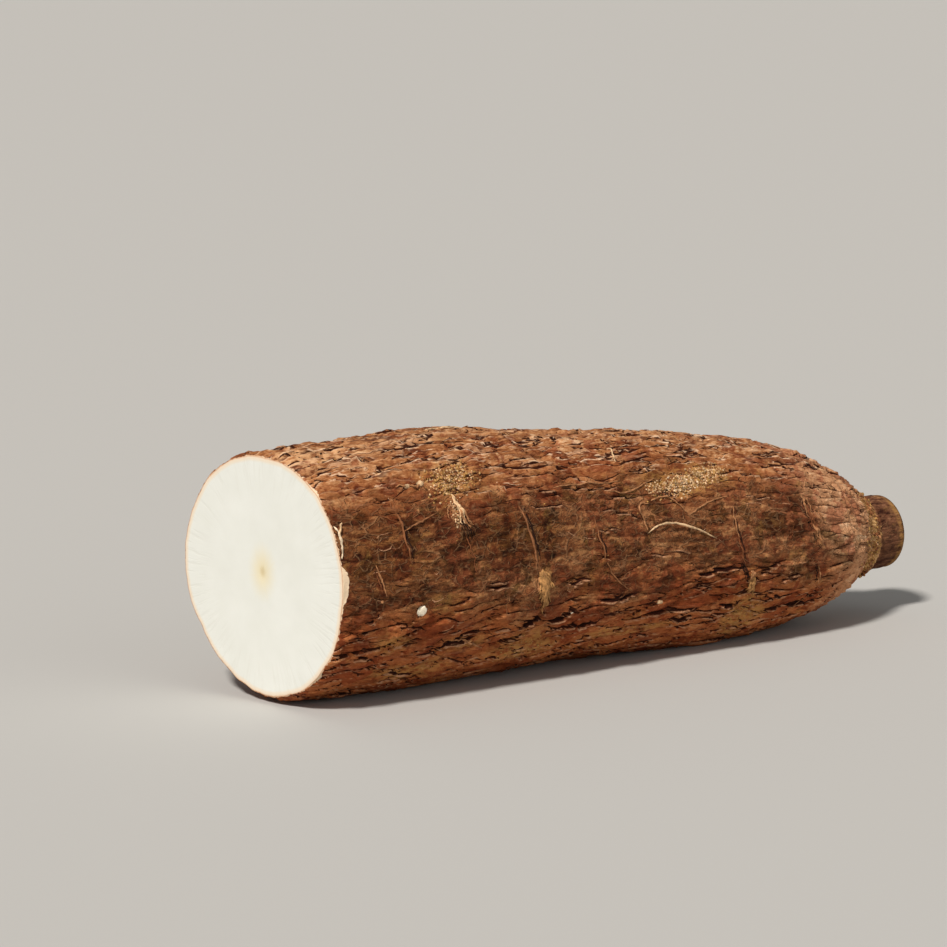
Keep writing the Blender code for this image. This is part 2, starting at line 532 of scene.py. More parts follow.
def torn_layers(field):
    """The field's height between two whole numbers, and how far it is in mm from the step at each."""
    level = field - np.floor(field)
    two_steps = 2 * girth_at_ring[:, None] / AROUND
    slope_round = (np.roll(field, -1, axis=1) - np.roll(field, 1, axis=1)) / two_steps
    slope_along = np.gradient(field, ring_places, axis=0)
    steep = np.hypot(slope_round, slope_along) + 0.02
    return level, level / steep, (1 - level) / steep


level, from_foot, from_edge = torn_layers(LAYERS_PER_HILL * rough(bent_along, bent_turn, 32, 30, 57))
layer_share = (0.1 + 0.9 * scales) * (0.4 + 0.6 * dry_and_painted_light) * (1 - 0.7 * smooth_step(176, 190, along))
layer_open = smooth_step(-0.35, 0.25, hills(along, turn, 12, 30, 58))
relief += 0.6 * layer_share * (level - 0.5)

arc_level, arc_foot, arc_edge = torn_layers((along + 1.6 * rough(along, turn, 9, 14, 76)) / ARC_GAP)
arc_share = band(along + 3 * wide_wobble, 178, 204, 4) * (1 - neck)
arc_open = smooth_step(-0.3, 0.2, hills(along, turn, 5, 22, 77)) * arc_share
relief += 0.6 * arc_share * (arc_level - 0.5)

# %% [markdown]
# The rubbed bark has shrunk over the flesh as it dried, into flat facets with raised creases between
# them. A crease is a narrow bell over the border of a plate. Noise fades it in and out, because real
# creases don't close into a net.

# %% Creases of the rubbed bark
creased = np.maximum(smooth, band(leaned, 130, 162, 8) * (1 - shoulder))
crease_border, *_ = plates(bent_along, bent_turn, 6.5, 40, 59)
small_crease_border, *_ = plates(bent_along, bent_turn, 3.0, 84, 60)
crease = smooth_step(-0.5, 0.2, hills(along, turn, 14, 14, 62)) * np.exp(-((crease_border / 0.45) ** 2))
small_crease = smooth_step(-0.3, 0.4, hills(along, turn, 9, 22, 63))
small_crease = small_crease * np.exp(-((small_crease_border / 0.35) ** 2))
facets = np.minimum(crease_border, 2.0)
relief += (0.2 + 0.8 * creased) * (0.6 * crease + 0.38 * small_crease - 0.16 * facets)

# %% [markdown]
# Where the root swelled, the borders of the plates opened as cracks. A crack is about as narrow as a
# cell of the mesh, so three sheets describe it to the material: the distance to its edge, the
# distance to its middle, which has a sign, and half its width. The material paints each crack dark,
# as painted shade. The one with a sign runs straight through the crack from side to side, so it stays
# true between the mesh's vertices. The foot of a torn layer counts as a crack too. Beside each crack
# the skin has curled up a little, and its raised lip is painted paler: partly its pale torn edge,
# partly a painted highlight.

# %% Cracks between the plates
OPEN_HALF = 0.18
SMALL_OPEN_HALF = 0.15

open_half = OPEN_HALF * smooth_step(0.4, 0.9, lengthwise) * scales
open_half = open_half * smooth_step(-0.7, 0.1, hills(along, turn, 9, 40, 55))
small_half = SMALL_OPEN_HALF * smooth_step(0.7, 0.98, small_lengthwise) * scales
small_half = small_half * smooth_step(0.05, 0.7, hills(along, turn, 6, 60, 56))
crack = np.ones(along.shape)
crack_line = np.full(along.shape, 9.0)
crack_half = np.zeros(along.shape)


def open_crack(where, line, half):
    """Opens a crack in part of the sheet. The line is the distance in mm from its middle, signed."""
    far = np.abs(line) - half
    closer = far < crack[where]
    crack[where] = np.where(closer, far, crack[where])
    crack_line[where] = np.where(closer, line, crack_line[where])
    crack_half[where] = np.where(closer, half, crack_half[where])


open_crack(..., -border * side, open_half - smooth_step(0.06, 0.0, open_half))
open_crack(..., -small_border * small_side, small_half - smooth_step(0.05, 0.0, small_half))
crack = np.minimum(crack, from_foot - 0.22 * layer_open * layer_share + 0.4 * (1 - layer_open))
crack = np.minimum(crack, arc_foot - 0.3 * arc_open + 0.4 * (1 - arc_open))

lift = 0.3 * open_half / 0.24 * np.exp(-border / 0.55) * np.where(side < 0, 1.0, 0.35)
lift += 0.15 * small_half / 0.16 * np.exp(-small_border / 0.4) * (small_side < 0)
# The raised lip is painted pale: partly its torn edge, partly a painted highlight.
lip_and_highlight = open_half / 0.24 * np.exp(-((border - open_half - 0.12) / 0.3) ** 2) * (side < 0)
for other_lip in (
    0.55 * layer_open * layer_share * np.exp(-((from_edge / 0.4) ** 2)),
    0.7 * arc_open * np.exp(-((arc_edge / 0.6) ** 2)),
    0.3 * creased * (crease**3 + small_crease**2),
):
    lip_and_highlight = np.maximum(lip_and_highlight, other_lip)

# %% [markdown]
# A tear is a thin, wavering lens along the root, where the skin split after the plates had formed.
# The skin on one side of it has curled up into a lip, painted pale: partly dry where it tore, partly a
# painted highlight. Its gap is painted dark, as painted shade. Over a thousand places are tried at
# random. Most of those in smooth bark are dropped, and all that lie on an open crack. Each tear is laid
# on the sheet in its own small window, most of them with the lip below the gap, so that it catches the
# light from above. The deepest tears of this root are listed one by one.

# %% Tears with lips
RANDOM_TEARS = 1400


def tear(at, at_angle, length, width, lean, bend, lip_side, rise):
    """One tear: its middle, its length and width in mm, its lean in degrees, its bend in mm.

    The lip stands on the side of the higher turn, or of the lower turn where lip_side is -1.
    """
    rows = np.flatnonzero(np.abs(ring_places - at) < length / 2 + 2)
    here = float(np.interp(at, ring_places, girth_at_ring))
    reach_round = 3.5 + abs(math.sin(math.radians(lean))) * length / 2 + abs(bend)
    half_columns = int(reach_round / here * AROUND) + 1
    columns = round(at_angle / 360 * AROUND) + np.arange(-half_columns, half_columns + 1)
    window = np.ix_(rows, columns % AROUND)
    da = ring_places[rows][:, None] - at
    db = (columns / AROUND - at_angle / 360)[None, :] * here
    c, s = math.cos(math.radians(lean)), math.sin(math.radians(lean))
    u = (da * c + db * s) / (length / 2)
    v = -da * s + db * c - bend * u * u + 0.3 * np.sin(1.1 * da + at_angle) + 0.16 * np.sin(2.3 * da + at)
    inside = np.clip(1 - u * u, 0, 1)
    strength = inside**0.5
    half_width = width / 2 * inside**0.9
    open_crack(window, v, half_width - 1.5 * np.maximum(u * u - 1, 0))
    beside = lip_side * v - half_width
    rising = np.where(beside > -0.2, np.exp(-np.abs(beside - 0.15) / 0.7), 0)
    rising = (rising + 0.35 * np.exp(-np.abs(beside) / 0.5)) * strength * rise
    lift[window] = np.maximum(lift[window], rising)
    # The lip is painted pale: partly its torn edge, partly a painted highlight.
    pale = np.where(beside > -0.15, np.exp(-((beside - 0.15) / 0.36) ** 2), 0) * strength
    lip_and_highlight[window] = np.maximum(lip_and_highlight[window], pale * min(1.0, 0.45 + rise))


rng = np.random.default_rng(61)
for _ in range(RANDOM_TEARS):
    at = rng.uniform(2, 196)
    at_angle = rng.uniform(0, 360)
    here = int(np.argmin(np.abs(ring_places - at))), int(at_angle / 360 * AROUND) % AROUND
    length = 2.6 + rng.gamma(2.0, 1.6 + 1.8 * dry_and_painted_light[here])
    width = rng.uniform(0.16, 0.34) + (0.014 + 0.012 * dry_and_painted_light[here]) * length
    lean = rng.normal(0, 7) + math.degrees(math.atan(slant[here]))
    bend = rng.normal(0, 0.45)
    lip_side = 1 if rng.random() < 0.75 else -1
    rise = rng.uniform(0.12, 0.5)
    likely = (0.05 + 0.95 * scales[here] ** 2) * (0.5 + 0.5 * dry_and_painted_light[here])
    if rng.random() < likely and crack[here] > 0.15:
        tear(at, at_angle, length, width, lean, bend, lip_side, rise)

# Along, angle, length in mm, lean in degrees, bend in mm, and strength from 1 to 4.
PLACED_TEARS = (
    # In the dry bark on top.
    (35, 107, 10, -3, 0, 2), (39, 110, 13, -9, 0, 3), (37, 120, 8, 6, -0.4, 3), (61, 111, 8, -1, 0, 2),
    (52, 106, 6, -4, 0, 1), (48, 99, 13, -11, 0, 2), (15, 114, 10, 0, -0.5, 3), (8, 128, 7, 4, 0, 3),
    (52, 115, 9, 5, 1.8, 2), (71, 123, 7, -7, 0.4, 2), (89, 106, 9, -3, 0, 2), (82, 123, 7, 20, 0, 1),
    (106, 128, 12, 0, 0, 3), (108, 133, 9, -7, -0.3, 3), (123, 116, 14, -6, 0, 2), (128, 119, 12, -13, 0, 2),
    (142, 112, 12, -6, 0, 1), (128, 128, 17, 1, 0.2, 2), (151, 137, 17, 1, -0.9, 3),
    (173, 121, 7, 21, -0.3, 2),
    # Where the dry bark ends.
    (39, 136, 7, 10, 0, 2), (71, 144, 9, 8, 0.9, 4), (87, 143, 21, 0, 0, 3), (85, 138, 5, 33, 0, 3),
    (48, 142, 10, 7, 0, 2), (98, 148, 10, 4, 0, 2), (146, 150, 11, 4, 0, 2), (168, 141, 4, 22, 0, 2),
    (70, 152, 13, -5, -0.9, 2), (95, 156, 14, 13, 0.6, 2), (90, 164, 7, -2, 0, 1),
    # On the flank and low down.
    (10, 194, 3, -32, 0, 2), (7, 201, 4, -16, 0, 2), (10, 215, 5, 4, 0, 2), (26, 229, 11, 13, 0.1, 2),
    (42, 212, 7, -9, 0, 4), (50, 186, 6, -12, 0, 2), (64, 206, 8, -27, 0, 4), (74, 206, 10, -19, 0, 3),
    (82, 212, 10, -7, 0, 3), (78, 188, 8, -10, 0, 2), (55, 209, 5, -11, 0, 1), (90, 199, 7, -6, 0, 3),
    (87, 224, 5, -24, 0, 1), (128, 190, 18, -8, 1.4, 4), (135, 212, 6, -5, -0.7, 4), (144, 195, 3, -20, 0, 2),
    (148, 190, 5, -25, 0, 2), (156, 197, 7, -17, 0, 1), (152, 209, 11, -5, 0.7, 2), (159, 217, 21, 1, 0.6, 3),
    (117, 211, 9, 5, 0, 2), (119, 218, 7, -6, 0, 3), (131, 219, 9, -2, 0, 1), (95, 199, 7, -11, 0, 3),
)
for at, at_angle, length, lean, bend, strength in PLACED_TEARS:
    tear(at, at_angle, length + 2, 0.3 + 0.13 * strength, lean, bend, 1, 0.35 + 0.2 * strength)

relief += lift - 0.7 * smooth_step(0.25, -0.2, crack)
print("share of the bark that is open crack:", round(float((crack < 0).mean()), 3))

# %% [markdown]
# At the cut, the knife tore the bark back in places, and the cream rind under it shows as a narrow
# band outside the white face. At the other end the shoulder runs into a crumbly corky collar, a
# groove, and the stub of the neck, whose thin bark is wrinkled round the girth. There are no cracks
# on the neck, so they are closed there.

# %% Cut edge, collar and neck
torn_back = 0.1 + 0.9 * smooth_step(0.1, 0.7, hills(along, turn, 60, 26, 71)) * band(angle, 120, 232, 12)
torn_back += 0.15 * fine_wobble + 1.6 * patch(0.0, 178, 5.0, 7)
bare_rind = 1 - smooth_step(-0.12, 0.12, along - torn_back)
relief = relief * smooth_step(-0.3, 2.2, along) * (1 - bare_rind) - 0.25 * bare_rind
rim_lumps = 0.5 * hills(along, turn, 9, 16, 78) + 0.25 * hills(along, turn, 4, 50, 79)
relief += rim_lumps * smooth_step(3.0, 0.5, along)

crumble_border, *_ = plates(along, turn, 2.4, 60, 72)
crumble = rough(along, turn, 2.6, 44, 73)
rings_round = hills(along + 0.8 * hills(along, turn, 6, 8, 75), turn, 1.5, 9, 74)
relief *= (1 - 0.7 * collar) * (1 - 0.85 * neck)
relief += collar * (0.5 * crumble + 0.2 * smooth_step(0.0, 0.5, crumble_border) - 0.1)
relief += 0.6 * band(along + 0.5 * fine_wobble, 199.5, 203.2, 0.7)
relief += shoulder * (1 - collar) * (1 - neck) * 0.07 * rings_round
relief += neck * (0.16 * rings_round + 0.08 * crumble)
relief[-1] = 0.0
crack += 1.5 * neck + 0.1 * collar
crack_half -= 1.5 * neck + 0.1 * collar
print("relief in mm:", round(float(relief.min()), 2), "to", round(float(relief.max()), 2))

# %% [markdown]
# ## The bark as a mesh
#
# A straight line of vertices is spun round the X axis into a plain can. The can's own x says which
# ring of the sheet a vertex belongs to, and its turn says which step. So the spin makes the faces,
# and the sheet only moves the vertices. The can starts in the middle of a shallow hollow behind the
# cut face, where the flesh will sit, and ends in a hollow under the neck's wood.

# %% Spin a can
SEAM = 1e-5


def spin_can(rings, around):
    """A closed can with pointed ends: one bmesh vertex ring for every whole x, of radius 1."""
    bm = bmesh.new()
    chain = [bm.verts.new((ring, 0, 0 if ring in (0, rings - 1) else 1)) for ring in range(rings)]
    for here, there in zip(chain, chain[1:]):
        bm.edges.new((here, there))
    bmesh.ops.spin(
        bm, geom=bm.verts[:] + bm.edges[:], axis=(1, 0, 0), cent=(0, 0, 0), dvec=(0, 0, 0),
        angle=FULL_TURN, steps=around, use_merge=True, use_duplicate=False,
    )
    bmesh.ops.remove_doubles(bm, verts=bm.verts, dist=SEAM)
    bmesh.ops.recalc_face_normals(bm, faces=bm.faces)
    mesh = bpy.data.meshes.new("can")
    bm.to_mesh(mesh)
    bm.free()
    flat = np.zeros(len(mesh.vertices) * 3)
    mesh.vertices.foreach_get("co", flat)
    can = flat.reshape(-1, 3)
    ring_of = np.rint(can[:, 0]).astype(int)
    step_of = np.rint(np.arctan2(can[:, 2], can[:, 1]) / FULL_TURN * around).astype(int) % around
    return mesh, ring_of, step_of


def add_piece(name, mesh, places_mm):
    """Moves a mesh's vertices to their places and adds it to the scene, smooth shaded."""
    mesh.vertices.foreach_set("co", (places_mm * MM).ravel())
    mesh.update()
    mesh.name = name
    mesh.shade_smooth()
    piece = bpy.data.objects.new(name, mesh)
    bpy.context.scene.collection.objects.link(piece)
    print(name, "triangles:", sum(len(polygon.vertices) - 2 for polygon in mesh.polygons))
    return piece


def face_outwards(mesh):
    """Turns the faces of a closed mesh outwards, after its vertices have moved."""
    bm = bmesh.new()
    bm.from_mesh(mesh)
    bmesh.ops.recalc_face_normals(bm, faces=bm.faces)
    bm.to_mesh(mesh)
    bm.free()
    mesh.shade_smooth()


def store(mesh, name, values):
    """Keeps one number for each vertex, which a material can read by name."""
    mesh.attributes.new(name, "FLOAT", "POINT").data.foreach_set("value", values.astype(np.float32))


# %% Wrap the sheet round the can
HOLLOW_DEPTH = 5.0
RIND = 0.9
RIND_STEPS = (0.6, 0.28)
NECK_RIM = 0.93
NECK_HOLLOW = np.array([-1.5, 0, 0])
before_sheet = 3 + len(RIND_STEPS)
after_sheet = 3
ring_count = before_sheet + len(ring_places) + after_sheet

shaped = base + normals * relief[..., None]
shaped[..., 2] = np.maximum(shaped[..., 2], 0.0)
shaped[0, :, 0] = cut_x - CUT_LEAN * (shaped[0, :, 1] - cut_y)
shaped[-1, :, 0] = root_length + cut_x
rim = shaped[0]
rim_centre = rim.mean(axis=0)
rim_radius = np.linalg.norm(rim - rim_centre, axis=1, keepdims=True)
cut_normal = np.array([cut["axis"][i] for i in range(3)])
neck_rim = shaped[-1]
neck_centre = neck_rim.mean(axis=0)


def inside_rim(inwards):
    """The rim of the cut, drawn inwards by so many mm."""
    return rim_centre + (rim - rim_centre) * (1 - inwards / rim_radius)


rings = np.zeros((ring_count, AROUND, 3))
rings[0] = rim_centre - cut_normal * HOLLOW_DEPTH
rings[1] = inside_rim(RIND) - cut_normal * HOLLOW_DEPTH
rings[2] = inside_rim(RIND)
for ring, inwards in enumerate(RIND_STEPS, 3):
    rings[ring] = inside_rim(inwards)
rings[before_sheet:-after_sheet] = shaped
rings[-3] = neck_centre + NECK_RIM * (neck_rim - neck_centre)
rings[-2] = neck_centre + NECK_HOLLOW + 0.85 * (neck_rim - neck_centre)
rings[-1] = neck_centre + NECK_HOLLOW
bark_mesh, ring_of, step_of = spin_can(ring_count, AROUND)
bark = add_piece("bark", bark_mesh, rings[ring_of, step_of])


def on_bark(sheet, cut_end=0.0, neck_end=0.0):
    """Values for every vertex of the bark, from the sheet's values and one number for each end."""
    table = np.full((ring_count, AROUND), cut_end)
    table[before_sheet:-after_sheet] = sheet
    table[-after_sheet:] = neck_end
    return table[ring_of, step_of]


in_from_edge = on_bark(-along, RIND, -root_length)
for ring, inwards in enumerate(RIND_STEPS, 3):
    in_from_edge[ring_of == ring] = inwards
store(bark_mesh, "in_from_edge", in_from_edge)
store(bark_mesh, "torn_back", on_bark(torn_back))
store(bark_mesh, "crack", on_bark(np.clip(crack, -0.5, 1.0), 1.0, 1.0))
store(bark_mesh, "crack_line", on_bark(np.clip(crack_line, -1.5, 1.5), 1.5, 1.5))
store(bark_mesh, "crack_half", on_bark(crack_half))
store(bark_mesh, "lip_and_highlight", on_bark(np.clip(lip_and_highlight, 0, 1)))
store(bark_mesh, "shade", on_bark(shade))
for name, sheet in SHEETS.items():
    store(bark_mesh, name, on_bark(sheet, 0.0, 1.0 if name == "neck" else 0.0))

# %% [markdown]
# ## The flesh and the neck's wood
#
# The white flesh is its own piece: a plug that fills the hollow in the bark and stands a hair proud
# of it, so that no gap shows. A knife leaves a face that is almost flat, so its relief is slight. The
# neck was snapped off, and its end is a disc of rough wood. Both are made from the same kind of can,
# with more rings across the front than anywhere else.

# %% Two end plugs
PROUD = 0.03
SHARP_EDGE = math.radians(50)


def end_plug(name, centre, edge, outwards, depth, front_rings, relief_at):
    """A closed plug: its front edge follows the edge points, and its back lies deep inside."""
    around = len(edge)
    shares = np.linspace(1.0, 0.0, front_rings)
    rings = np.zeros((front_rings + 2, around, 3))
    rings[0] = centre - outwards * depth
    rings[1] = centre + (edge - centre) * 0.995 - outwards * depth
    for i, share in enumerate(shares):
        rings[2 + i] = centre + (edge - centre) * share + outwards * PROUD
    rings[2:] += outwards * relief_at(shares[:, None], np.arange(around) / around)[..., None]
    mesh, ring_of, step_of = spin_can(front_rings + 2, around)
    plug = add_piece(name, mesh, rings[ring_of, step_of])
    store(mesh, "share_out", np.concatenate([[0.0, 1.0], shares])[ring_of])
    face_outwards(mesh)
    mesh.set_sharp_from_angle(angle=SHARP_EDGE)
    return plug


def on_disc(radius_mm, share, step_turn):
    """Where to read the closed noise for a place on a flat disc of this radius."""
    a = share * radius_mm * np.cos(FULL_TURN * step_turn) + 60
    b = share * radius_mm * np.sin(FULL_TURN * step_turn) / GIRTH + 0.5
    return a, b


def flesh_relief(share, step_turn):
    """The knife's slight unevenness in mm, a dimple at the pith, and nothing at the edge."""
    a, b = on_disc(30, share, step_turn)
    uneven = 0.05 * hills(a, b, 14, 14, 81) + 0.02 * hills(a, b, 4, 50, 82)
    dimple = -0.15 * np.exp(-((share / 0.05) ** 2))
    return (uneven + dimple) * smooth_step(1.0, 0.93, share)


def wood_relief(share, step_turn):
    """Broken wood in mm: splinters that point outwards round a soft middle."""
    a, b = on_disc(9, share, step_turn)
    splinters = 0.45 * hills(a, b, 2.2, 90, 83) + 0.25 * hills(a, b, 0.9, 210, 84)
    return splinters * smooth_step(1.0, 0.8, share) - 0.4 * np.exp(-((share / 0.16) ** 2))


flesh_edge = inside_rim(0.5)[::2]
flesh = end_plug("flesh", rim_centre, flesh_edge, cut_normal, HOLLOW_DEPTH - 0.2, 34, flesh_relief)
neck_edge = (neck_centre + 0.9 * (neck_rim - neck_centre))[::5]
neck_wood = end_plug("neck_wood", neck_centre, neck_edge, np.array([1.0, 0, 0]), 2.0, 22, wood_relief)

# %% [markdown]
# ## Flakes of bark
#
# The papery bark lifts off in flakes with torn edges, too fine for the bark's own mesh. Each flake is
# a small closed shard: one side is sunk in the bark and the other stands free. All are copies of one
# can of four rings, which the same spin makes: a point below, the torn outline, a ring on top and the
# middle of the top. Numbers drawn at random then give each copy its size, its turn and its outline.

# %% Read the finished skin


def on_skin(along, turn, lift=0.0, rows_of=None):
    """Points in mm on the shaped bark, raised by so many mm, or the values of a sheet there."""
    row = np.interp(along, ring_places, np.arange(len(ring_places)))
    low_row = np.clip(np.floor(row).astype(int), 0, len(ring_places) - 2)
    column = (turn % 1.0) * AROUND
    low_column = np.floor(column).astype(int) % AROUND
    where = low_row, low_column, (row - low_row)[..., None], (column - np.floor(column))[..., None]
    if rows_of is not None:
        return between(rows_of[..., None], *where)[..., 0]
    points = between(shaped, *where) + between(normals, *where) * np.asarray(lift)[..., None]
    points[..., 2] = np.maximum(points[..., 2], 0.0)
    return points


def many_of(template, count):
    """A mesh that holds many copies of a small one."""
    bm = bmesh.new()
    for _ in range(count):
        bm.from_mesh(template)
    mesh = bpy.data.meshes.new("copies")
    bm.to_mesh(mesh)
    bm.free()
    return mesh


def many_cans(rings, around, count):
    """Many copies of a small can in one mesh, and the ring, step and copy of every vertex."""
    template, ring_of, step_of = spin_can(rings, around)
    copy_of = np.repeat(np.arange(count), len(ring_of))
    return many_of(template, count), np.tile(ring_of, count), np.tile(step_of, count), copy_of


def store_bark_masks(mesh, along, turn, lip_and_highlight, shade):
    """The masks that the bark's material reads, for a piece that lies on the bark."""
    store(mesh, "in_from_edge", -along)
    store(mesh, "lip_and_highlight", lip_and_highlight)
    store(mesh, "shade", shade)
    for name, value in (("torn_back", 0.0), ("crack", 1.0), ("crack_line", 1.5), ("crack_half", 0.0)):
        store(mesh, name, np.full(len(along), value))
    for name, sheet in SHEETS.items():
        store(mesh, name, on_skin(along, turn, rows_of=sheet))


# %% Strew the flakes
FLAKE_POINTS = 12
RING_OUT = np.array([0.0, 1.0, 0.62, 0.0])
RING_HEIGHT = np.array([-0.45, -0.16, 0.02, 0.04])
RING_CURL = np.array([0.0, 1.3, 0.9, 0.0])
TRIES_PER_FLAKE = 12


def strew_flakes(name, count, seed, lengths, widths, lifts, spread_deg, density):
    """A piece of so many flakes, more of them where the density is high."""
    rng = np.random.default_rng(seed)
    tries = count * TRIES_PER_FLAKE
    at = rng.uniform(3.0, 200.0, tries)
    at_turn = rng.uniform(0, 1, tries)
    likely = on_skin(at, at_turn, rows_of=np.clip(density, 0, 1))
    kept = np.flatnonzero(rng.random(tries) < likely)[:count]
    at, at_turn = at[kept], at_turn[kept]
    count = len(kept)
    mesh, ring_of, step_of, copy_of = many_cans(len(RING_OUT), FLAKE_POINTS, count)
    length = rng.uniform(*lengths, count)
    width = rng.uniform(*widths, count)
    lifted = rng.uniform(*lifts, count)
    lean = np.radians(rng.normal(0, spread_deg, count)) + np.arctan(on_skin(at, at_turn, rows_of=slant))
    free_side = np.where(rng.random(count) < 0.65, 1, -1)
    jagged = rng.uniform(0.75, 1.1, (count, FLAKE_POINTS))
    shade_of = rng.uniform(-1, 1, count)

    round_flake = step_of / FLAKE_POINTS * FULL_TURN
    out = RING_OUT[ring_of] * jagged[copy_of, step_of]
    p = np.cos(round_flake) * out * length[copy_of] / 2
    q = np.sin(round_flake) * out * width[copy_of] / 2
    free = smooth_step(0.0, 0.9, np.sin(round_flake) * free_side[copy_of]) * out
    lift = RING_HEIGHT[ring_of] + free * lifted[copy_of] * RING_CURL[ring_of]
    c, s = np.cos(lean)[copy_of], np.sin(lean)[copy_of]
    along_here = np.clip(at[copy_of] + p * c - q * s, 0.6, root_length - 0.5)
    girth_here = np.interp(at, ring_places, girth_at_ring)[copy_of]
    turn_here = at_turn[copy_of] + (p * s + q * c) / girth_here
    piece = add_piece(name, mesh, on_skin(along_here, turn_here, lift))
    mesh.set_sharp_from_angle(angle=math.radians(60))
    # The free edge is painted pale: partly its torn edge, partly a painted highlight.
    lip_and_highlight_of = (ring_of == 1) * np.clip(free * 1.3, 0, 1)
    store_bark_masks(mesh, along_here, turn_here, lip_and_highlight_of, shade_of[copy_of])
    return piece


flakes = [strew_flakes(*flake) for flake in (
    ("flakes_top", 110, 91, (5.0, 13.0), (1.6, 3.6), (0.05, 0.26), 6, dry_and_painted_light * scales),
    ("flakes_low", 70, 92, (4.0, 9.0), (1.4, 2.8), (0.08, 0.35), 7, (1 - dry_and_painted_light) * scales),
    ("flakes_flank", 70, 93, (2.5, 6.0), (1.2, 2.6), (0.05, 0.25), 35, (smooth + shoulder) * (1 - neck)),
)]

# %% [markdown]
# ## Rootlets
#
# Thin roots once grew from the bark, and their dried threads still lie on it, with the stubs and
# fibres where thicker ones broke off. A thread is a thin can, bent along a path on the skin. The
# larger ones are listed one by one. A path is its radius in mm, its points and its tone, and each point
# is a distance along the root in mm, an angle round it in degrees and a height over the bark in mm.

# %% Bend threads along the skin


def bend_threads(name, paths, rings, around):
    """A piece of threads, one for each path."""
    mesh, ring_of, step_of, copy_of = many_cans(rings, around, len(paths))
    places = np.zeros((len(paths), rings, 3))
    sides = np.zeros_like(places)
    ups = np.zeros_like(places)
    radii_of = np.zeros((len(paths), rings))
    share = np.linspace(0, 1, rings)
    path_rng = np.random.default_rng(len(paths))
    for i, (radius, points, _) in enumerate(paths):
        points = np.array(points, float)
        steps = np.hypot(np.diff(points[:, 0]), np.diff(points[:, 1]) * GIRTH / 360)
        knots = np.concatenate([[0], np.cumsum(steps)]) / steps.sum()
        softened = [np.interp(share, knots, points[:, k]) for k in range(3)]
        for _ in range(2):
            for values in softened:
                values[1:-1] = (values[:-2] + 2 * values[1:-1] + values[2:]) / 4
        softened[1][1:-1] += path_rng.normal(0, 0.2, rings - 2)
        softened[0][1:-1] += path_rng.normal(0, 0.08, rings - 2)
        at, at_angle, lift = softened
        places[i] = on_skin(at, at_angle / 360, lift)
        forward = np.gradient(places[i], axis=0)
        forward /= np.linalg.norm(forward, axis=1, keepdims=True)
        up = on_skin(at, at_angle / 360, lift + 1.0) - places[i]
        sides[i] = np.cross(forward, up)
        sides[i] /= np.linalg.norm(sides[i], axis=1, keepdims=True) + 1e-9
        ups[i] = np.cross(sides[i], forward)
        taper = 0.55 + 0.45 * np.sin(math.pi * np.clip(share * 1.1, 0, 1))
        radii_of[i] = 0.6 * radius * taper * path_rng.uniform(0.75, 1.25, rings)
    radii_of[:, [0, -1]] = 0.0
    round_thread = (step_of / around * FULL_TURN)[:, None]
    out = sides[copy_of, ring_of] * np.cos(round_thread) + ups[copy_of, ring_of] * np.sin(round_thread)
    points = places[copy_of, ring_of] + out * radii_of[copy_of, ring_of][:, None]
    points[:, 2] = np.maximum(points[:, 2], 0.0)
    piece = add_piece(name, mesh, points)
    store(mesh, "tone", np.array([tone for _, _, tone in paths], float)[copy_of])
    face_outwards(mesh)
    return piece
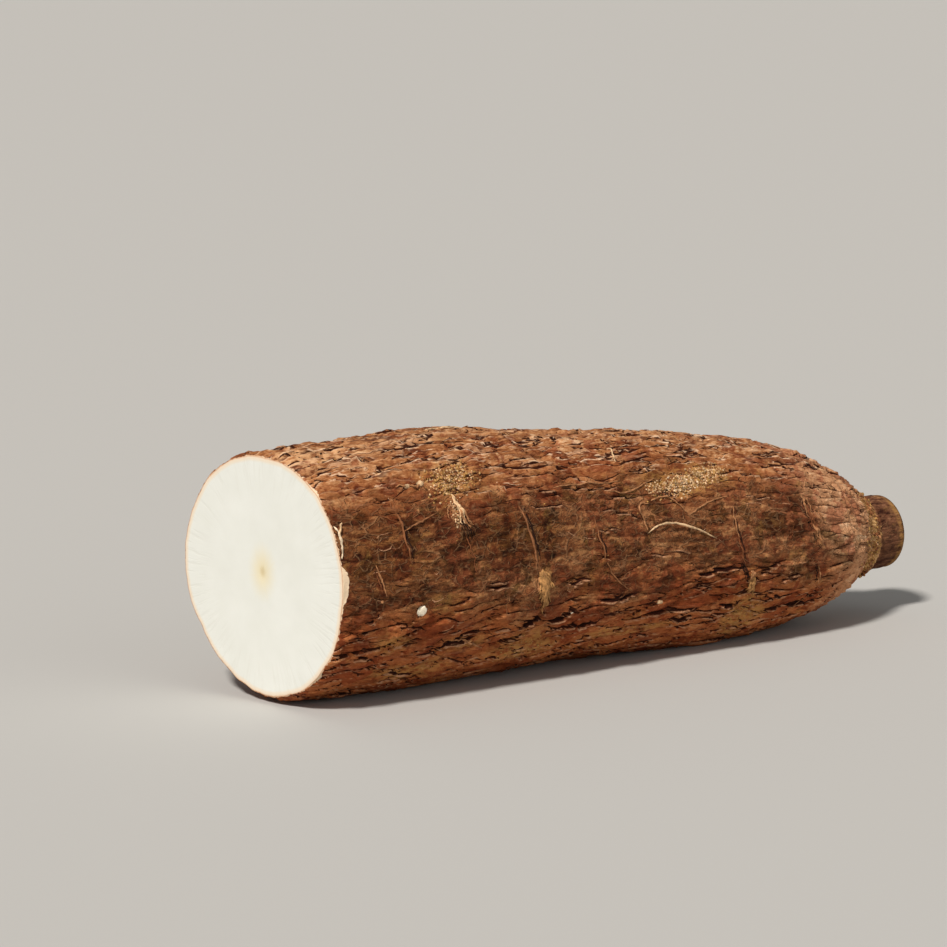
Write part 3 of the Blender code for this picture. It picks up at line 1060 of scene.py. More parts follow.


# %% Threads listed one by one
# The darkest tone is painted shade, for threads and crumbs that stand for gaps and shadows.
CREAM, PALE, OCHRE, TAN, BROWN, PAINTED_SHADE = 0.0, 0.2, 0.4, 0.6, 0.8, 1.0
placed = [
    # A long rootlet that arches off the flank, and a shorter one up from its root.
    (0.55, (
        (102.5, 168, 0.1), (104.5, 165, 0.5), (108.9, 163, 1.0), (115, 164, 1.2), (121.7, 168, 1.0),
        (127.3, 173, 0.3),
    ), 0.2),
    (0.42, ((118.5, 160, 0.1), (123.3, 155, 0.4), (126.2, 153, 0.4), (134.3, 149, 0.2)), TAN),
    (0.5, ((102.9, 167, 0.1), (102.5, 160, 0.5), (100.6, 155, 0.5), (102, 152, 0.5), (105.5, 152, 0.2)), TAN),
    (0.45, ((106, 151, 0.1), (109, 149, 0.5), (112.2, 149, 0.5), (115, 152, 0.4), (118.3, 158, 0.1)), TAN),
    (0.34, ((134.3, 155, 0.0), (134.4, 161, 0.3), (134.5, 167, 0.3), (135.4, 173, 0.0)), TAN),
    (0.4, ((135.4, 173, 0.0), (136.4, 181, 0.1), (137.9, 191, 0.0)), BROWN),
    (0.34, (
        (84.8, 158, 0.0), (85.6, 164, 0.2), (86.3, 171, 0.3), (87.4, 180, 0.3), (90.3, 188, 0.3),
        (97.9, 197, 0.1),
    ), 0.7),
    (0.45, ((101.6, 116, 0.2), (101.0, 121, 0.6), (100.1, 128, 0.1)), PALE),
    # A ridge down the flank, with a split root below it.
    (0.55, ((59.8, 150, 0.0), (60.6, 158, 0.2), (61.8, 168, 0.2), (63.3, 178, 0.1), (64.5, 182, 0.0)), 0.72),
    # A scar like a letter Y, and its long arm.
    (0.5, ((19.8, 140, 0.0), (20.6, 148, 0.2), (20.9, 155, 0.2), (21.2, 163, 0.1), (22.2, 171, 0.0)), 0.76),
    (0.4, ((21.0, 156, 0.0), (24, 154, 0.15), (28, 152.5, 0.15), (34.1, 149, 0.1)), 0.7),
    (0.3, ((13, 146, 0.0), (17, 148, 0.2), (20.4, 152, 0.1)), BROWN),
    # Long lips where the dry bark ends.
    (0.42, ((74, 142, 0.0), (80, 141.5, 0.3), (86, 140, 0.4), (92, 140.5, 0.3), (98.6, 139, 0.1)), TAN),
    (0.42, ((92, 145, 0.1), (99.1, 146, 0.3), (102, 144, 0.3), (105, 142, 0.3), (111.2, 138, 0.1)), TAN),
    (0.3, ((98, 146, 0.0), (104, 147, 0.2), (110, 147, 0.2), (116, 150, 0.1)), BROWN),
    (0.5, ((24, 134, 0.1), (27.8, 135, 0.4), (30, 136.5, 0.3), (32.7, 134, 0.3), (35, 131, 0.0)), TAN),
    (0.3, ((40.2, 160, 0.1), (41.2, 166, 0.3), (42.2, 172, 0.3), (42.8, 179, 0.1)), BROWN),
    # The crescent tear of the shoulder: a dark thread sunk in the bark, painted shade for its gap, and torn
    # fibres beside it.
    (0.5, (
        (161.2, 146, -0.2), (161.7, 152, -0.2), (162.3, 162, -0.15), (164.0, 173, -0.15), (166.4, 181, -0.2),
    ), PAINTED_SHADE),
    (0.45, ((165.5, 190, -0.15), (166.8, 198, -0.1), (166.6, 206, -0.2)), PAINTED_SHADE),
    (0.32, ((166.6, 191, 0.0), (167.9, 198, 0.2), (167.7, 206, 0.0)), TAN),
    # A lip along the low flank, and streaks of dry fibre.
    (0.5, ((38.5, 212, 0.0), (42, 211.5, 0.3), (45.5, 213, 0.5), (48.5, 217, 0.4), (51.3, 220, 0.1)), TAN),
    (0.3, ((28.6, 191.5, 0.0), (31, 190, 0.15), (34.0, 190, 0.0)), BROWN),
    (0.4, ((10.2, 169, 0.0), (11.2, 174, 0.15), (12.2, 179, 0.15), (13.2, 184, 0.0)), TAN),
    (0.3, ((9.6, 171, 0.0), (10.9, 177, 0.1), (11.7, 182, 0.0)), BROWN),
    # A torn strip of rind by the cut.
    (0.55, ((0.3, 149, 0.1), (1.0, 153, 0.5), (1.0, 159, 0.5), (0.4, 165, 0.1)), 0.12),
    (0.45, ((1.0, 154, 0.4), (1.8, 150, 0.8), (2.8, 148.5, 0.8)), PALE),
    # Dark threads sunk beside the larger ridges: painted shadows.
    (0.6, ((61.0, 150, -0.2), (61.9, 158, -0.1), (63.1, 168, -0.1), (64.6, 178, -0.2)), PAINTED_SHADE),
    (0.6, ((21.2, 144, -0.2), (21.9, 152, -0.1), (22.2, 163, -0.1), (23.2, 171, -0.2)), PAINTED_SHADE),
    (0.45, ((86.6, 164, -0.15), (87.2, 171, -0.1), (88.3, 180, -0.15)), PAINTED_SHADE),
    (0.45, ((135.2, 161, -0.15), (135.4, 168, -0.1), (136.6, 176, -0.1), (138.4, 186, -0.15)), PAINTED_SHADE),
    # A lip on the very top.
    (0.6, ((50, 88, 0.0), (56, 87, 0.3), (63, 87, 0.5), (69, 86, 0.4), (75, 86, 0.1)), PALE),
]

# %% [markdown]
# Where a root was torn off, its fibres lie on the bark as a brush. A brush is a bundle of threads from
# one place to another, fanning out at its end. The dark ones are painted shade for the gaps between
# the pale ones.
# Each has its two ends, as places and angles, its number of threads, their radius in mm, how far they
# splay, their tone, and how high they stand in mm.

# %% Brushes of torn fibres
rng = np.random.default_rng(101)
for start, end, count, radius, splay, tone, lift_mm in (
    ((40.2, 141), (40.6, 155), 9, 0.3, 0.6, PALE, 0.5),
    ((40.4, 146), (42.4, 158), 8, 0.26, 0.6, TAN, 0.5),
    ((38.4, 146), (37.8, 154), 4, 0.3, 0.6, TAN, 0.5),
    ((40.6, 153), (42.8, 164), 10, 0.15, 1.5, PAINTED_SHADE, 0.2),
    ((40.0, 140), (41.0, 132), 7, 0.2, 2.2, OCHRE, 0.2),
    ((64.8, 182), (66.6, 194), 56, 0.5, 1.5, 0.5, 0.5),
    ((65.0, 181), (64.2, 190), 6, 0.3, 0.9, TAN, 0.3),
    ((140.4, 192), (141.6, 204), 20, 0.55, 0.7, 0.5, 0.6),
    ((140.2, 191), (140.8, 196), 4, 0.5, 0.5, TAN, 0.8),
    ((136.6, 186), (138.2, 196), 5, 0.25, 0.7, PAINTED_SHADE, 0.1),
    ((162.4, 148), (163.6, 160), 5, 0.4, 0.9, TAN, 0.25),
    ((163.2, 157), (165.4, 170), 6, 0.4, 1.0, BROWN, 0.3),
    ((164.4, 166), (168.0, 180), 5, 0.4, 1.0, TAN, 0.25),
    ((165.8, 156), (168.6, 166), 3, 0.3, 1.0, TAN, 0.3),
):
    for _ in range(count):
        a0 = start[0] + rng.normal(0, splay * 0.35)
        t0 = start[1] + rng.normal(0, splay * 0.6)
        a1 = end[0] + rng.normal(0, splay)
        t1 = end[1] + rng.normal(0, splay * 1.8)
        high = lift_mm * rng.uniform(0.4, 1.2)
        middle_a = (a0 + a1) / 2 + rng.normal(0, 0.4)
        middle_t = (t0 + t1) / 2 + rng.normal(0, 0.8)
        points = ((a0, t0, 0.05), (middle_a, middle_t, high), (a1, t1, 0.2 * high))
        placed.append((radius * rng.uniform(0.7, 1.2), points, tone))
print("threads placed by hand:", len(placed))

# %% [markdown]
# Besides these, short threads lie all over the bark, hidden side too, most of them where the bark is
# smooth. Each wavers a little along its own direction.

# %% Scattered threads
SCATTERED_THREADS = 40

rng = np.random.default_rng(111)
scattered = []
while len(scattered) < SCATTERED_THREADS:
    at = rng.uniform(4, 196)
    at_angle = rng.uniform(0, 360)
    if rng.random() > 0.25 + 0.75 * on_skin(np.array(at), np.array(at_angle / 360), rows_of=smooth):
        continue
    length = 2.5 + rng.gamma(2.0, 1.6)
    heading = rng.normal(0, 1.1)
    points = []
    for share in np.linspace(-0.5, 0.5, 4):
        sway = rng.normal(0, 0.28)
        ahead = share * length * math.cos(heading) - sway * math.sin(heading)
        aside = share * length * math.sin(heading) + sway * math.cos(heading)
        points.append((
            float(np.clip(at + ahead, 1.5, root_length - 1.5)),
            at_angle + aside / GIRTH * 360,
            0.05 if abs(share) > 0.4 else rng.uniform(0.05, 0.3),
        ))
    tone = rng.choice((TAN, BROWN, BROWN))
    scattered.append((rng.uniform(0.09, 0.17), points, tone))

# This piece also holds the dark threads of painted shade.
rootlets_and_shadows = bend_threads("rootlets_and_shadows", placed, 18, 6)
threads = bend_threads("bark_threads", scattered, 8, 4)

# %% [markdown]
# ## Crumbs and nubs
#
# Where the bark breathes, loose cork pushes out of it as yellow crumbs, and the collar at the neck is
# made of little else. A few rootlets broke off so short that only a pale nub is left. A crumb is a
# small ball of 20 faces with its corners pushed in or out. A nub is a finer ball, because there are
# few and they are larger.

# %% Sprinkle lumps on the skin


def sprinkle(name, spots, seed, subdivisions, unevenness):
    """A piece of small lumps. A spot is: along, angle, half length, half width, height in mm, tone."""
    bm = bmesh.new()
    bmesh.ops.create_icosphere(bm, subdivisions=subdivisions, radius=1.0)
    template = bpy.data.meshes.new("lump")
    bm.to_mesh(template)
    bm.free()
    ball = np.array([vert.co for vert in template.vertices])
    corners = len(ball)
    rng = np.random.default_rng(seed)
    spots = np.array(spots)
    here = np.interp(spots[:, 0], ring_places, girth_at_ring)
    places = np.zeros((len(spots), corners, 3))
    for i, (at, at_angle, half_length, half_width, height, _) in enumerate(spots):
        lump = ball * rng.uniform(1 - unevenness, 1 + unevenness, (corners, 1))
        spin = rng.uniform(0, FULL_TURN) if half_length == half_width else 0.0
        p = lump[:, 0] * math.cos(spin) - lump[:, 1] * math.sin(spin)
        q = lump[:, 0] * math.sin(spin) + lump[:, 1] * math.cos(spin)
        spot_along = np.clip(at + p * half_length, 0.3, root_length - 0.3)
        spot_turn = at_angle / 360 + q * half_width / here[i]
        foot = on_skin(np.full(corners, at), np.full(corners, at_angle / 360))
        over = on_skin(spot_along, spot_turn) - foot
        out = on_skin(np.array([at]), np.array([at_angle / 360]), np.array([1.0])) - foot[:1]
        flat = over - (over @ out[0])[:, None] * out
        places[i] = foot + flat + out * (lump[:, 2:] * height + 0.15 * height)
    places[..., 2] = np.maximum(places[..., 2], 0.0)
    mesh = many_of(template, len(spots))
    piece = add_piece(name, mesh, places.reshape(-1, 3))
    store(mesh, "tone", np.repeat(spots[:, 5], corners))
    return piece


# %% [markdown]
# Crumbs are strewn along lines on the bark. Each line has a number of crumbs, the place and angle of
# both its ends, how far they stray in mm along and in degrees round, the smallest and largest size in
# mm, and the tones to draw from.

# %% Crumbs and nubs
COLLAR_CRUMBS = ((1.1, 0.0), (0.2, 0.6), (TAN, TAN, OCHRE, BROWN, BROWN))

rng = np.random.default_rng(121)
spots = []
for count, start, end, stray, sizes, tones in (
    (360, (108, 146), (118, 144), (1.4, 2.2), (0.15, 0.34), (PALE, PALE, 0.3, OCHRE, TAN)),
    (760, (116, 143), (135, 133), (1.8, 2.8), (0.15, 0.36), (PALE, 0.3, OCHRE, TAN)),
    (260, (115, 144), (123, 141), (1.2, 1.6), (0.16, 0.38), (0.12, PALE, 0.3, OCHRE)),
    # Dark crumbs among the pale ones: painted shade in the gaps of the crust.
    (120, (109, 147), (116, 147), (1.0, 1.0), (0.2, 0.4), (PAINTED_SHADE, BROWN)),
    (620, (38, 137), (47, 130), (3.0, 3.6), (0.16, 0.4), (PALE, 0.3, OCHRE, OCHRE, TAN, BROWN)),
    (90, (38.6, 145), (39.6, 156), (0.7, 1.2), (0.15, 0.38), (PALE, PALE, OCHRE, TAN)),
    (60, (62, 222), (70, 228), (3.0, 4.0), (0.12, 0.3), (OCHRE, OCHRE, TAN)),
    (60, (141, 210), (143, 226), (2.5, 4.0), (0.14, 0.34), (OCHRE, OCHRE, TAN)),
    (60, (193.5, 0), (193.5, 360), *COLLAR_CRUMBS),
    (160, (198.5, 0), (198.5, 360), *COLLAR_CRUMBS),
    (200, (201.5, 0), (201.5, 360), *COLLAR_CRUMBS),
    (140, (193, 200), (201, 180), (2.0, 14.0), (0.15, 0.4), (PALE, OCHRE, OCHRE, TAN)),
    (110, (2, 0), (196, 360), (0.0, 60.0), (0.12, 0.3), (TAN, OCHRE, BROWN)),
):
    for _ in range(count):
        share = rng.random()
        size = rng.uniform(*sizes)
        spots.append((
            start[0] + share * (end[0] - start[0]) + rng.normal(0, stray[0]),
            start[1] + share * (end[1] - start[1]) + rng.normal(0, stray[1]),
            size, size, size * rng.uniform(0.5, 1.0), rng.choice(tones),
        ))
# This piece also holds dark crumbs of painted shade.
crumbs_and_shade = sprinkle("cork_crumbs_and_shade", spots, 122, 1, 0.3)
nubs = sprinkle("rootlet_nubs", (
    (25.9, 191.5, 1.7, 1.4, 0.28, CREAM),
    (32.7, 134.0, 1.1, 0.9, 0.9, PALE),
    (27.8, 135.0, 1.2, 0.6, 0.7, PALE),
    (98.2, 96.0, 1.9, 0.9, 0.8, TAN),
    (77.5, 204.0, 0.5, 0.4, 0.4, CREAM),
    (12.0, 186.0, 0.5, 0.4, 0.4, TAN),
    (108.8, 205.0, 1.2, 0.6, 0.5, PALE),
    (150.0, 300.0, 1.3, 0.9, 0.5, PALE),
    (62.0, 20.0, 1.2, 0.8, 0.5, TAN),
    (118.0, 40.0, 1.4, 1.1, 0.9, TAN),
), 123, 2, 0.2)

# %% [markdown]
# ## Finishes
#
# Cassava bark is a thin cork that dries and flakes: quite matt, orange-tan where dry, red-brown or
# purple-brown where it isn't, and very dark inside the cracks, which is painted shade. The dry top is
# painted lighter and the flank darker, partly as painted light and shade. The sheets on the mesh say
# where each kind lies. Noise on Object coordinates, squeezed along the root, draws the fibres,
# wrinkles and flakes that are finer than the mesh, and the same values drive a bump.

# %% Bark material: coordinates and patterns
BEND_MM = 5.0
FIBRE_MM = 0.6
WRINKLE_MM = 6.4
LAYER_MM = 6.0
LAYERS_PER_NOISE = 5.5
BLOTCH_MM = 8.0
CRUMPLE_MM = 1.6
VEIN_MM = 5.0
GRAIN_MM = 0.8
RIDGED = {"noise_type": "RIDGED_MULTIFRACTAL", "normalize": True}
TO_EDGE = {"feature": "DISTANCE_TO_EDGE"}

bark_finish, tree, shader = new_material("papery cassava bark")
place = add_node(tree, "ShaderNodeTexCoord").outputs["Object"]
masks = {
    name: add_node(tree, "ShaderNodeAttribute", {"attribute_name": name}).outputs["Fac"]
    for name in ("in_from_edge", "torn_back", "crack", "crack_line", "crack_half", "lip_and_highlight", "shade", *SHEETS)
}
bend_noise = add_node(tree, NOISE, None, {"Vector": place, "Scale": 1 / (BEND_MM * MM), "Detail": 2.0})
bend = bend_noise.outputs["Color"]
bent_across = add_node(tree, VECTOR_MATH, MULTIPLY_ADD, (bend, (0.0, 2.2 * MM, 2.2 * MM), place))
bent_all_ways = add_node(tree, VECTOR_MATH, MULTIPLY_ADD, (bend, (2 * MM, 2 * MM, 2 * MM), place))
squeezed = {
    name: add_node(tree, "ShaderNodeMapping", None, {"Vector": vector, "Scale": (squeeze, 1.0, 1.0)})
    for name, vector, squeeze in (
        ("fibres", bent_across, 0.25), ("wrinkles", bent_across, 0.5), ("layers", bent_across, 0.2),
        ("crumples", bent_all_ways, 0.6),
    )
}
fibres = add_node(tree, NOISE, None, {
    "Vector": squeezed["fibres"], "Scale": 1 / (FIBRE_MM * MM), "Detail": 3.0, "Roughness": 0.65,
})
wrinkles = add_node(tree, NOISE, RIDGED, {
    "Vector": squeezed["wrinkles"], "Scale": 1 / (WRINKLE_MM * MM), "Detail": 4.0, "Roughness": 0.55,
    "Lacunarity": 2.1,
})
layer_noise = add_node(tree, NOISE, None, {
    "Vector": squeezed["layers"], "Scale": 1 / (LAYER_MM * MM), "Detail": 3.0, "Roughness": 0.5,
})
blotches = add_node(tree, NOISE, None, {
    "Vector": bent_across, "Scale": 1 / (BLOTCH_MM * MM), "Detail": 5.0, "Roughness": 0.62, "Distortion": 0.3,
})
blotch = add_node(tree, "ShaderNodeSeparateColor", None, (blotches.outputs["Color"],)).outputs
crumples = add_node(tree, NOISE, None, {
    "Vector": squeezed["crumples"], "Scale": 1 / (CRUMPLE_MM * MM), "Detail": 5.0, "Roughness": 0.62,
})
grain = add_node(tree, NOISE, None, {
    "Vector": place, "Scale": 1 / (GRAIN_MM * MM), "Detail": 3.0, "Roughness": 0.6,
})
folds = add_node(tree, MIX, {"data_type": "FLOAT"}, {0: masks["smooth"], 2: wrinkles, 3: crumples})

# %% [markdown]
# The crack masks are distances in mm. The one with a sign runs straight through a crack from one side
# to the other, so it stays exact between vertices, and it is used wherever the plain distance says
# that a crack is near. Grain is added before the cut off, so that the edge of a crack is ragged. The
# crack is painted dark, as painted shade, and darkest in its middle. Finer layers, too thin for the
# mesh, come from a noise that starts again at every whole number: just over that step lies a dark
# foot, painted shade, and just under the next one a pale torn edge, partly a painted highlight.

# %% Bark material: fine cracks and edges
NEAR_CRACK = 0.24
TOO_FAR = 9.0

off_line = add_node(tree, MATH, {"operation": "ABSOLUTE"}, (masks["crack_line"],))
exact = add_node(tree, MATH, SUBTRACT, (off_line, masks["crack_half"]))
far_off = add_node(tree, MATH, {"operation": "GREATER_THAN"}, (masks["crack"], NEAR_CRACK))
exact_near = add_node(tree, MATH, MULTIPLY_ADD, (far_off, TOO_FAR, exact))
crack_far = add_node(tree, MATH, MINIMUM, (masks["crack"], exact_near))
ragged = add_node(tree, MATH, MULTIPLY_ADD, (grain, 0.2, crack_far))
# Painted shade: each crack is painted dark, and darker still in its middle.
in_crack = add_node(tree, MAP_RANGE, SMOOTH, (ragged, 0.15, 0.03, 0.0, 0.95))
deep_crack_shade = add_node(tree, MAP_RANGE, SMOOTH, (crack_far, 0.05, -0.25, 0.0, 1.0))

layer_height = add_node(tree, MATH, MULTIPLY, (layer_noise, LAYERS_PER_NOISE))
layer = add_node(tree, MATH, {"operation": "FRACT"}, (layer_height,))
layer_here = add_node(tree, MAP_RANGE, SMOOTH, (blotch["Blue"], 0.42, 0.54, 0.25, 1.0))
rubbed = add_node(tree, MATH, MAXIMUM, (masks["smooth"], masks["shoulder"]))
not_rubbed = add_node(tree, MATH, MULTIPLY_ADD, (rubbed, -0.85, 1.0))
dry_layers = add_node(tree, MATH, MULTIPLY_ADD, (masks["dry_and_painted_light"], 0.6, 0.4))
layer_share = add_node(tree, MATH, MULTIPLY, (layer_here, not_rubbed))
layer_share = add_node(tree, MATH, MULTIPLY, (layer_share, dry_layers))
# The dark foot of each fine layer is painted shade, and the pale torn edge under the next is partly a painted
# highlight.
layer_foot = add_node(tree, MAP_RANGE, SMOOTH, (layer, 0.22, 0.06, 0.0, 0.75))
layer_top = add_node(tree, MAP_RANGE, SMOOTH, (layer, 0.75, 0.97, 0.0, 0.32))
fine_crack_shade = add_node(tree, MATH, MULTIPLY, (layer_foot, layer_share))
fine_lip_and_highlight = add_node(tree, MATH, MULTIPLY, (layer_top, layer_share))
layer_rise = add_node(tree, MATH, MULTIPLY, (layer, layer_share))
# The lips are painted pale: partly their torn edges, partly a painted highlight.
lip_line = add_node(tree, MATH, MULTIPLY, (masks["lip_and_highlight"], fibres))
lip_edge_and_highlight = add_node(tree, MAP_RANGE, SMOOTH, (lip_line, 0.14, 0.42, 0.0, 0.85))

# %% [markdown]
# The rubbed bark has fine veins. A vein is a thin ridge where two cells of a pattern meet. Its width
# follows a soft noise, so that the net is broken and its lines run out to nothing. A finer net of
# veins lies between the large ones.

# %% Bark material: veins
SMALL_VEINS = 2.6

veins = []
for finer, noise, start, end, widest, soft in (
    (1.0, blotch["Red"], 0.42, 0.55, 0.06, 0.045),
    (SMALL_VEINS, crumples, 0.46, 0.56, 0.12, 0.1),
):
    vein_far = add_node(tree, "ShaderNodeTexVoronoi", TO_EDGE, {
        "Vector": squeezed["crumples"], "Scale": finer / (VEIN_MM * MM), "Randomness": 1.0,
    })
    vein_wide = add_node(tree, MAP_RANGE, None, (noise, start, end, widest, 0.0))
    vein_in = add_node(tree, MATH, SUBTRACT, (vein_wide, vein_far))
    veins.append(add_node(tree, MAP_RANGE, SMOOTH, (vein_in, 0.0, soft, 0.0, 1.0)))
web = add_node(tree, MATH, MAXIMUM, veins)
vein_share = add_node(tree, MATH, MULTIPLY, (web, masks["smooth"]))
vein_pale = add_node(tree, MATH, MULTIPLY, (vein_share, 0.3))

# %% [markdown]
# At the cut the knife laid the rind bare. From the bark inwards it is a pale edge, a thin tan line and
# then cream, and the grain makes the line where the bark tore ragged.

# %% Bark material: the rind at the cut


def add_ramp(tree, value, stops):
    """A colour ramp node, read at a value. Each stop is a position and a hex colour."""
    node = add_node(tree, "ShaderNodeValToRGB", None, (value,))
    while len(node.color_ramp.elements) < len(stops):
        node.color_ramp.elements.new(0.5)
    for element, (position, hex_colour) in zip(node.color_ramp.elements, stops):
        element.position = position
        element.color = linear(hex_colour)
    return node


torn_line = add_node(tree, MATH, ADD, (masks["in_from_edge"], masks["torn_back"]))
torn_ragged = add_node(tree, MATH, MULTIPLY_ADD, (grain, 0.8, torn_line))
rind_share = add_node(tree, MAP_RANGE, SMOOTH, (torn_ragged, 0.36, 0.46, 0.0, 1.0))
rind_depth = add_node(tree, MATH, MULTIPLY_ADD, (grain, 0.3, masks["in_from_edge"]))
rind = add_ramp(tree, rind_depth, ((0.0, "#e9d0b0"), (0.2, "#c79a78"), (0.38, "#e6cdb2"), (0.75, "#ebe3d3")))

# %% [markdown]
# Each kind of bark has its own palette, from its folds to its ridges: the folds are painted darker as
# shade and the ridges paler as highlight, because the same noise that raises the bump moves the tone.
# One tone reads all of them, made from the fibres, the plate's own tone with its painted shade, the
# folds and the crumples. Noise has a mean of about a half, so half the weight of the folds and
# crumples comes off again. Then the colours go over each other: the kinds of bark, stains that darken
# it as a glaze would, one of them painted shade, and last the worn spots, veins, lips that are partly
# painted highlight, cracks painted dark as shade, and bare rind.

# %% Bark material: colours
# The dry palette is lighter and the smooth one darker, partly as painted light on the top and painted shade
# on the flank.
PALETTES = {
    "dry_and_painted_light": ((0.25, "#6f3d21"), (0.42, "#a0663d"), (0.56, "#c68f62"), (0.75, "#ecc79e")),
    "low": ((0.25, "#7d3d1e"), (0.42, "#a25a31"), (0.56, "#ba7242"), (0.75, "#d49a68")),
    "smooth": ((0.3, "#432514"), (0.45, "#6c3f25"), (0.56, "#8c5836"), (0.72, "#c08a5c")),
    "shoulder": ((0.25, "#84563c"), (0.42, "#bf8860"), (0.56, "#daa378"), (0.75, "#f2cca5")),
    "collar": ((0.28, "#6c4120"), (0.42, "#b07c47"), (0.56, "#cfa168"), (0.75, "#ecca98")),
    "neck": ((0.3, "#35190f"), (0.44, "#5f3c29"), (0.56, "#7a5038"), (0.72, "#a27655")),
}
FOLD_WEIGHT = 0.25
CRUMPLE_WEIGHT = 0.5
PAINT = {"data_type": "RGBA"}
GLAZE = {"data_type": "RGBA", "blend_type": "MULTIPLY"}

fibre_share = add_node(tree, MATH, MULTIPLY_ADD, (masks["dry_and_painted_light"], 0.5, 0.3))
fibre_middle = add_node(tree, MATH, SUBTRACT, (fibres, 0.5))
tone = add_node(tree, MATH, MULTIPLY_ADD, (fibre_middle, fibre_share, 0.55))
# Folds and crumples raise the bump too, so their share of the tone darkens the hollows and lightens the
# crests: painted shade and highlight.
for part, weight in ((masks["shade"], 0.085), (folds, FOLD_WEIGHT), (crumples, CRUMPLE_WEIGHT)):
    tone = add_node(tree, MATH, MULTIPLY_ADD, (part, weight, tone))
tone = add_node(tree, MATH, SUBTRACT, (tone, (FOLD_WEIGHT + CRUMPLE_WEIGHT) / 2))
shades = {name: add_ramp(tree, tone, stops) for name, stops in PALETTES.items()}

tints = {}
for name, channel, start, end, most in (
    ("purple", "Red", 0.52, 0.55, 0.75),
    ("ochre", "Green", 0.59, 0.66, 0.35),
    ("olive", "Blue", 0.53, 0.56, 0.85),
):
    tints[name] = add_node(tree, MAP_RANGE, SMOOTH, (blotch[channel], start, end, 0.0, most))
for name in ("purple", "ochre"):
    tints[name] = add_node(tree, MATH, MAXIMUM, (tints[name], masks[name]))
ochre_spots = add_node(tree, MAP_RANGE, SMOOTH, (crumples, 0.38, 0.58, 0.1, 0.8))
worn_spots = add_node(tree, MAP_RANGE, SMOOTH, (crumples, 0.42, 0.6, 0.1, 0.85))
ochre_share = add_node(tree, MATH, MULTIPLY, (tints["ochre"], ochre_spots))
worn_share = add_node(tree, MATH, MULTIPLY, (masks["worn"], worn_spots))
olive_share = add_node(tree, MATH, MULTIPLY, (tints["olive"], masks["smooth"]))
lip_and_highlight_colours = {0: masks["dry_and_painted_light"], MIX_UNDER: linear("#c89672"), MIX_OVER: linear("#f3cda9")}
lip_and_highlight_colour = add_node(tree, MIX, PAINT, lip_and_highlight_colours).outputs[MIX_RESULT]

colour = shades["low"]
for settings, share, over in (
    *((PAINT, masks[name], shades[name]) for name in ("dry_and_painted_light", "smooth", "shoulder", "collar", "neck")),
    (GLAZE, tints["purple"], linear("#cba5a0")),
    (GLAZE, olive_share, linear("#a2a084")),
    # Painted shade, glazed over the bark in patches.
    (GLAZE, masks["painted_shade_patches"], linear("#c0b39c")),
    (PAINT, worn_share, linear("#dfae7f")),
    (PAINT, ochre_share, linear("#b98b4c")),
    (PAINT, vein_pale, linear("#b68a62")),
    # Pale torn edges, partly painted highlight, then the dark feet and cracks, painted shade.
    (PAINT, fine_lip_and_highlight, lip_and_highlight_colour),
    (PAINT, fine_crack_shade, linear("#4e2519")),
    (PAINT, lip_edge_and_highlight, lip_and_highlight_colour),
    (PAINT, in_crack, linear("#4a1e0e")),
    (PAINT, deep_crack_shade, linear("#240b04")),
    (PAINT, rind_share, rind),
):
    colours = {0: share, MIX_UNDER: colour, MIX_OVER: over}
    colour = add_node(tree, MIX, settings, colours).outputs[MIX_RESULT]
tree.links.new(colour, shader.inputs["Base Color"])

# %% [markdown]
# Dry cork scatters light and has almost no shine. Where it is rubbed it is a little less rough, which
# gives the flank a faint sheen. The bump is a height in mm, so it can be judged against the real
# bark. It almost goes out on the bare rind, which the knife left flat.

# %% Bark material: gloss and bump
gloss = add_node(tree, MAP_RANGE, None, (masks["smooth"], 0.0, 1.0, 0.85, 0.68))
tree.links.new(gloss.outputs[0], shader.inputs["Roughness"])
shader.inputs["Specular IOR Level"].default_value = 0.1
crumple_rise = add_node(tree, MAP_RANGE, None, (masks["dry_and_painted_light"], 0.0, 1.0, 0.8, 0.35))
height = add_node(tree, MATH, MULTIPLY, (folds, 0.7))
for part, rise in (
    (crumples, crumple_rise), (vein_share, 0.4), (fibres, 0.2), (layer_rise, 0.3), (in_crack, -0.3),
):
    height = add_node(tree, MATH, MULTIPLY_ADD, (part, rise, height))
strength = add_node(tree, MAP_RANGE, None, (rind_share, 0.0, 1.0, 1.0, 0.12))
bump = add_node(tree, "ShaderNodeBump", None, {"Height": height, "Strength": strength, "Distance": MM})
tree.links.new(bump.outputs[0], shader.inputs["Normal"])
for piece in (bark, *flakes):
    piece.data.materials.append(bark_finish)

# %% [markdown]
# Dried rootlets are stiff, fibrous and quite matt. Their tone runs from straw to dark brown, and the darkest
# is painted shade for the threads and crumbs that stand for gaps and shadows.

# %% Rootlet material
SPECKLE_MM = 1.4

thread_finish, tree, shader = new_material("dried rootlets")
tone = add_node(tree, "ShaderNodeAttribute", {"attribute_name": "tone"}).outputs["Fac"]
place = add_node(tree, "ShaderNodeTexCoord").outputs["Object"]
speckle = add_node(tree, NOISE, None, {
    "Vector": place, "Scale": 1 / (SPECKLE_MM * MM), "Detail": 4.0, "Roughness": 0.65,
})
thread_colour = add_ramp(tree, tone, (
    (CREAM, "#fff2d8"), (PALE, "#d6b38a"), (OCHRE, "#b3894f"), (TAN, "#a5744e"), (BROWN, "#7a492c"),
    (PAINTED_SHADE, "#2a140b"),
))
darker = add_node(tree, MAP_RANGE, None, (speckle, 0.38, 0.62, 0.6, 1.35))
speckled = add_node(tree, VECTOR_MATH, {"operation": "SCALE"}, {0: thread_colour, "Scale": darker})
tree.links.new(speckled.outputs[0], shader.inputs["Base Color"])
shader.inputs["Roughness"].default_value = 0.8
shader.inputs["Specular IOR Level"].default_value = 0.15
bump = add_node(tree, "ShaderNodeBump", None, {"Height": speckle, "Strength": 0.6, "Distance": 0.2 * MM})
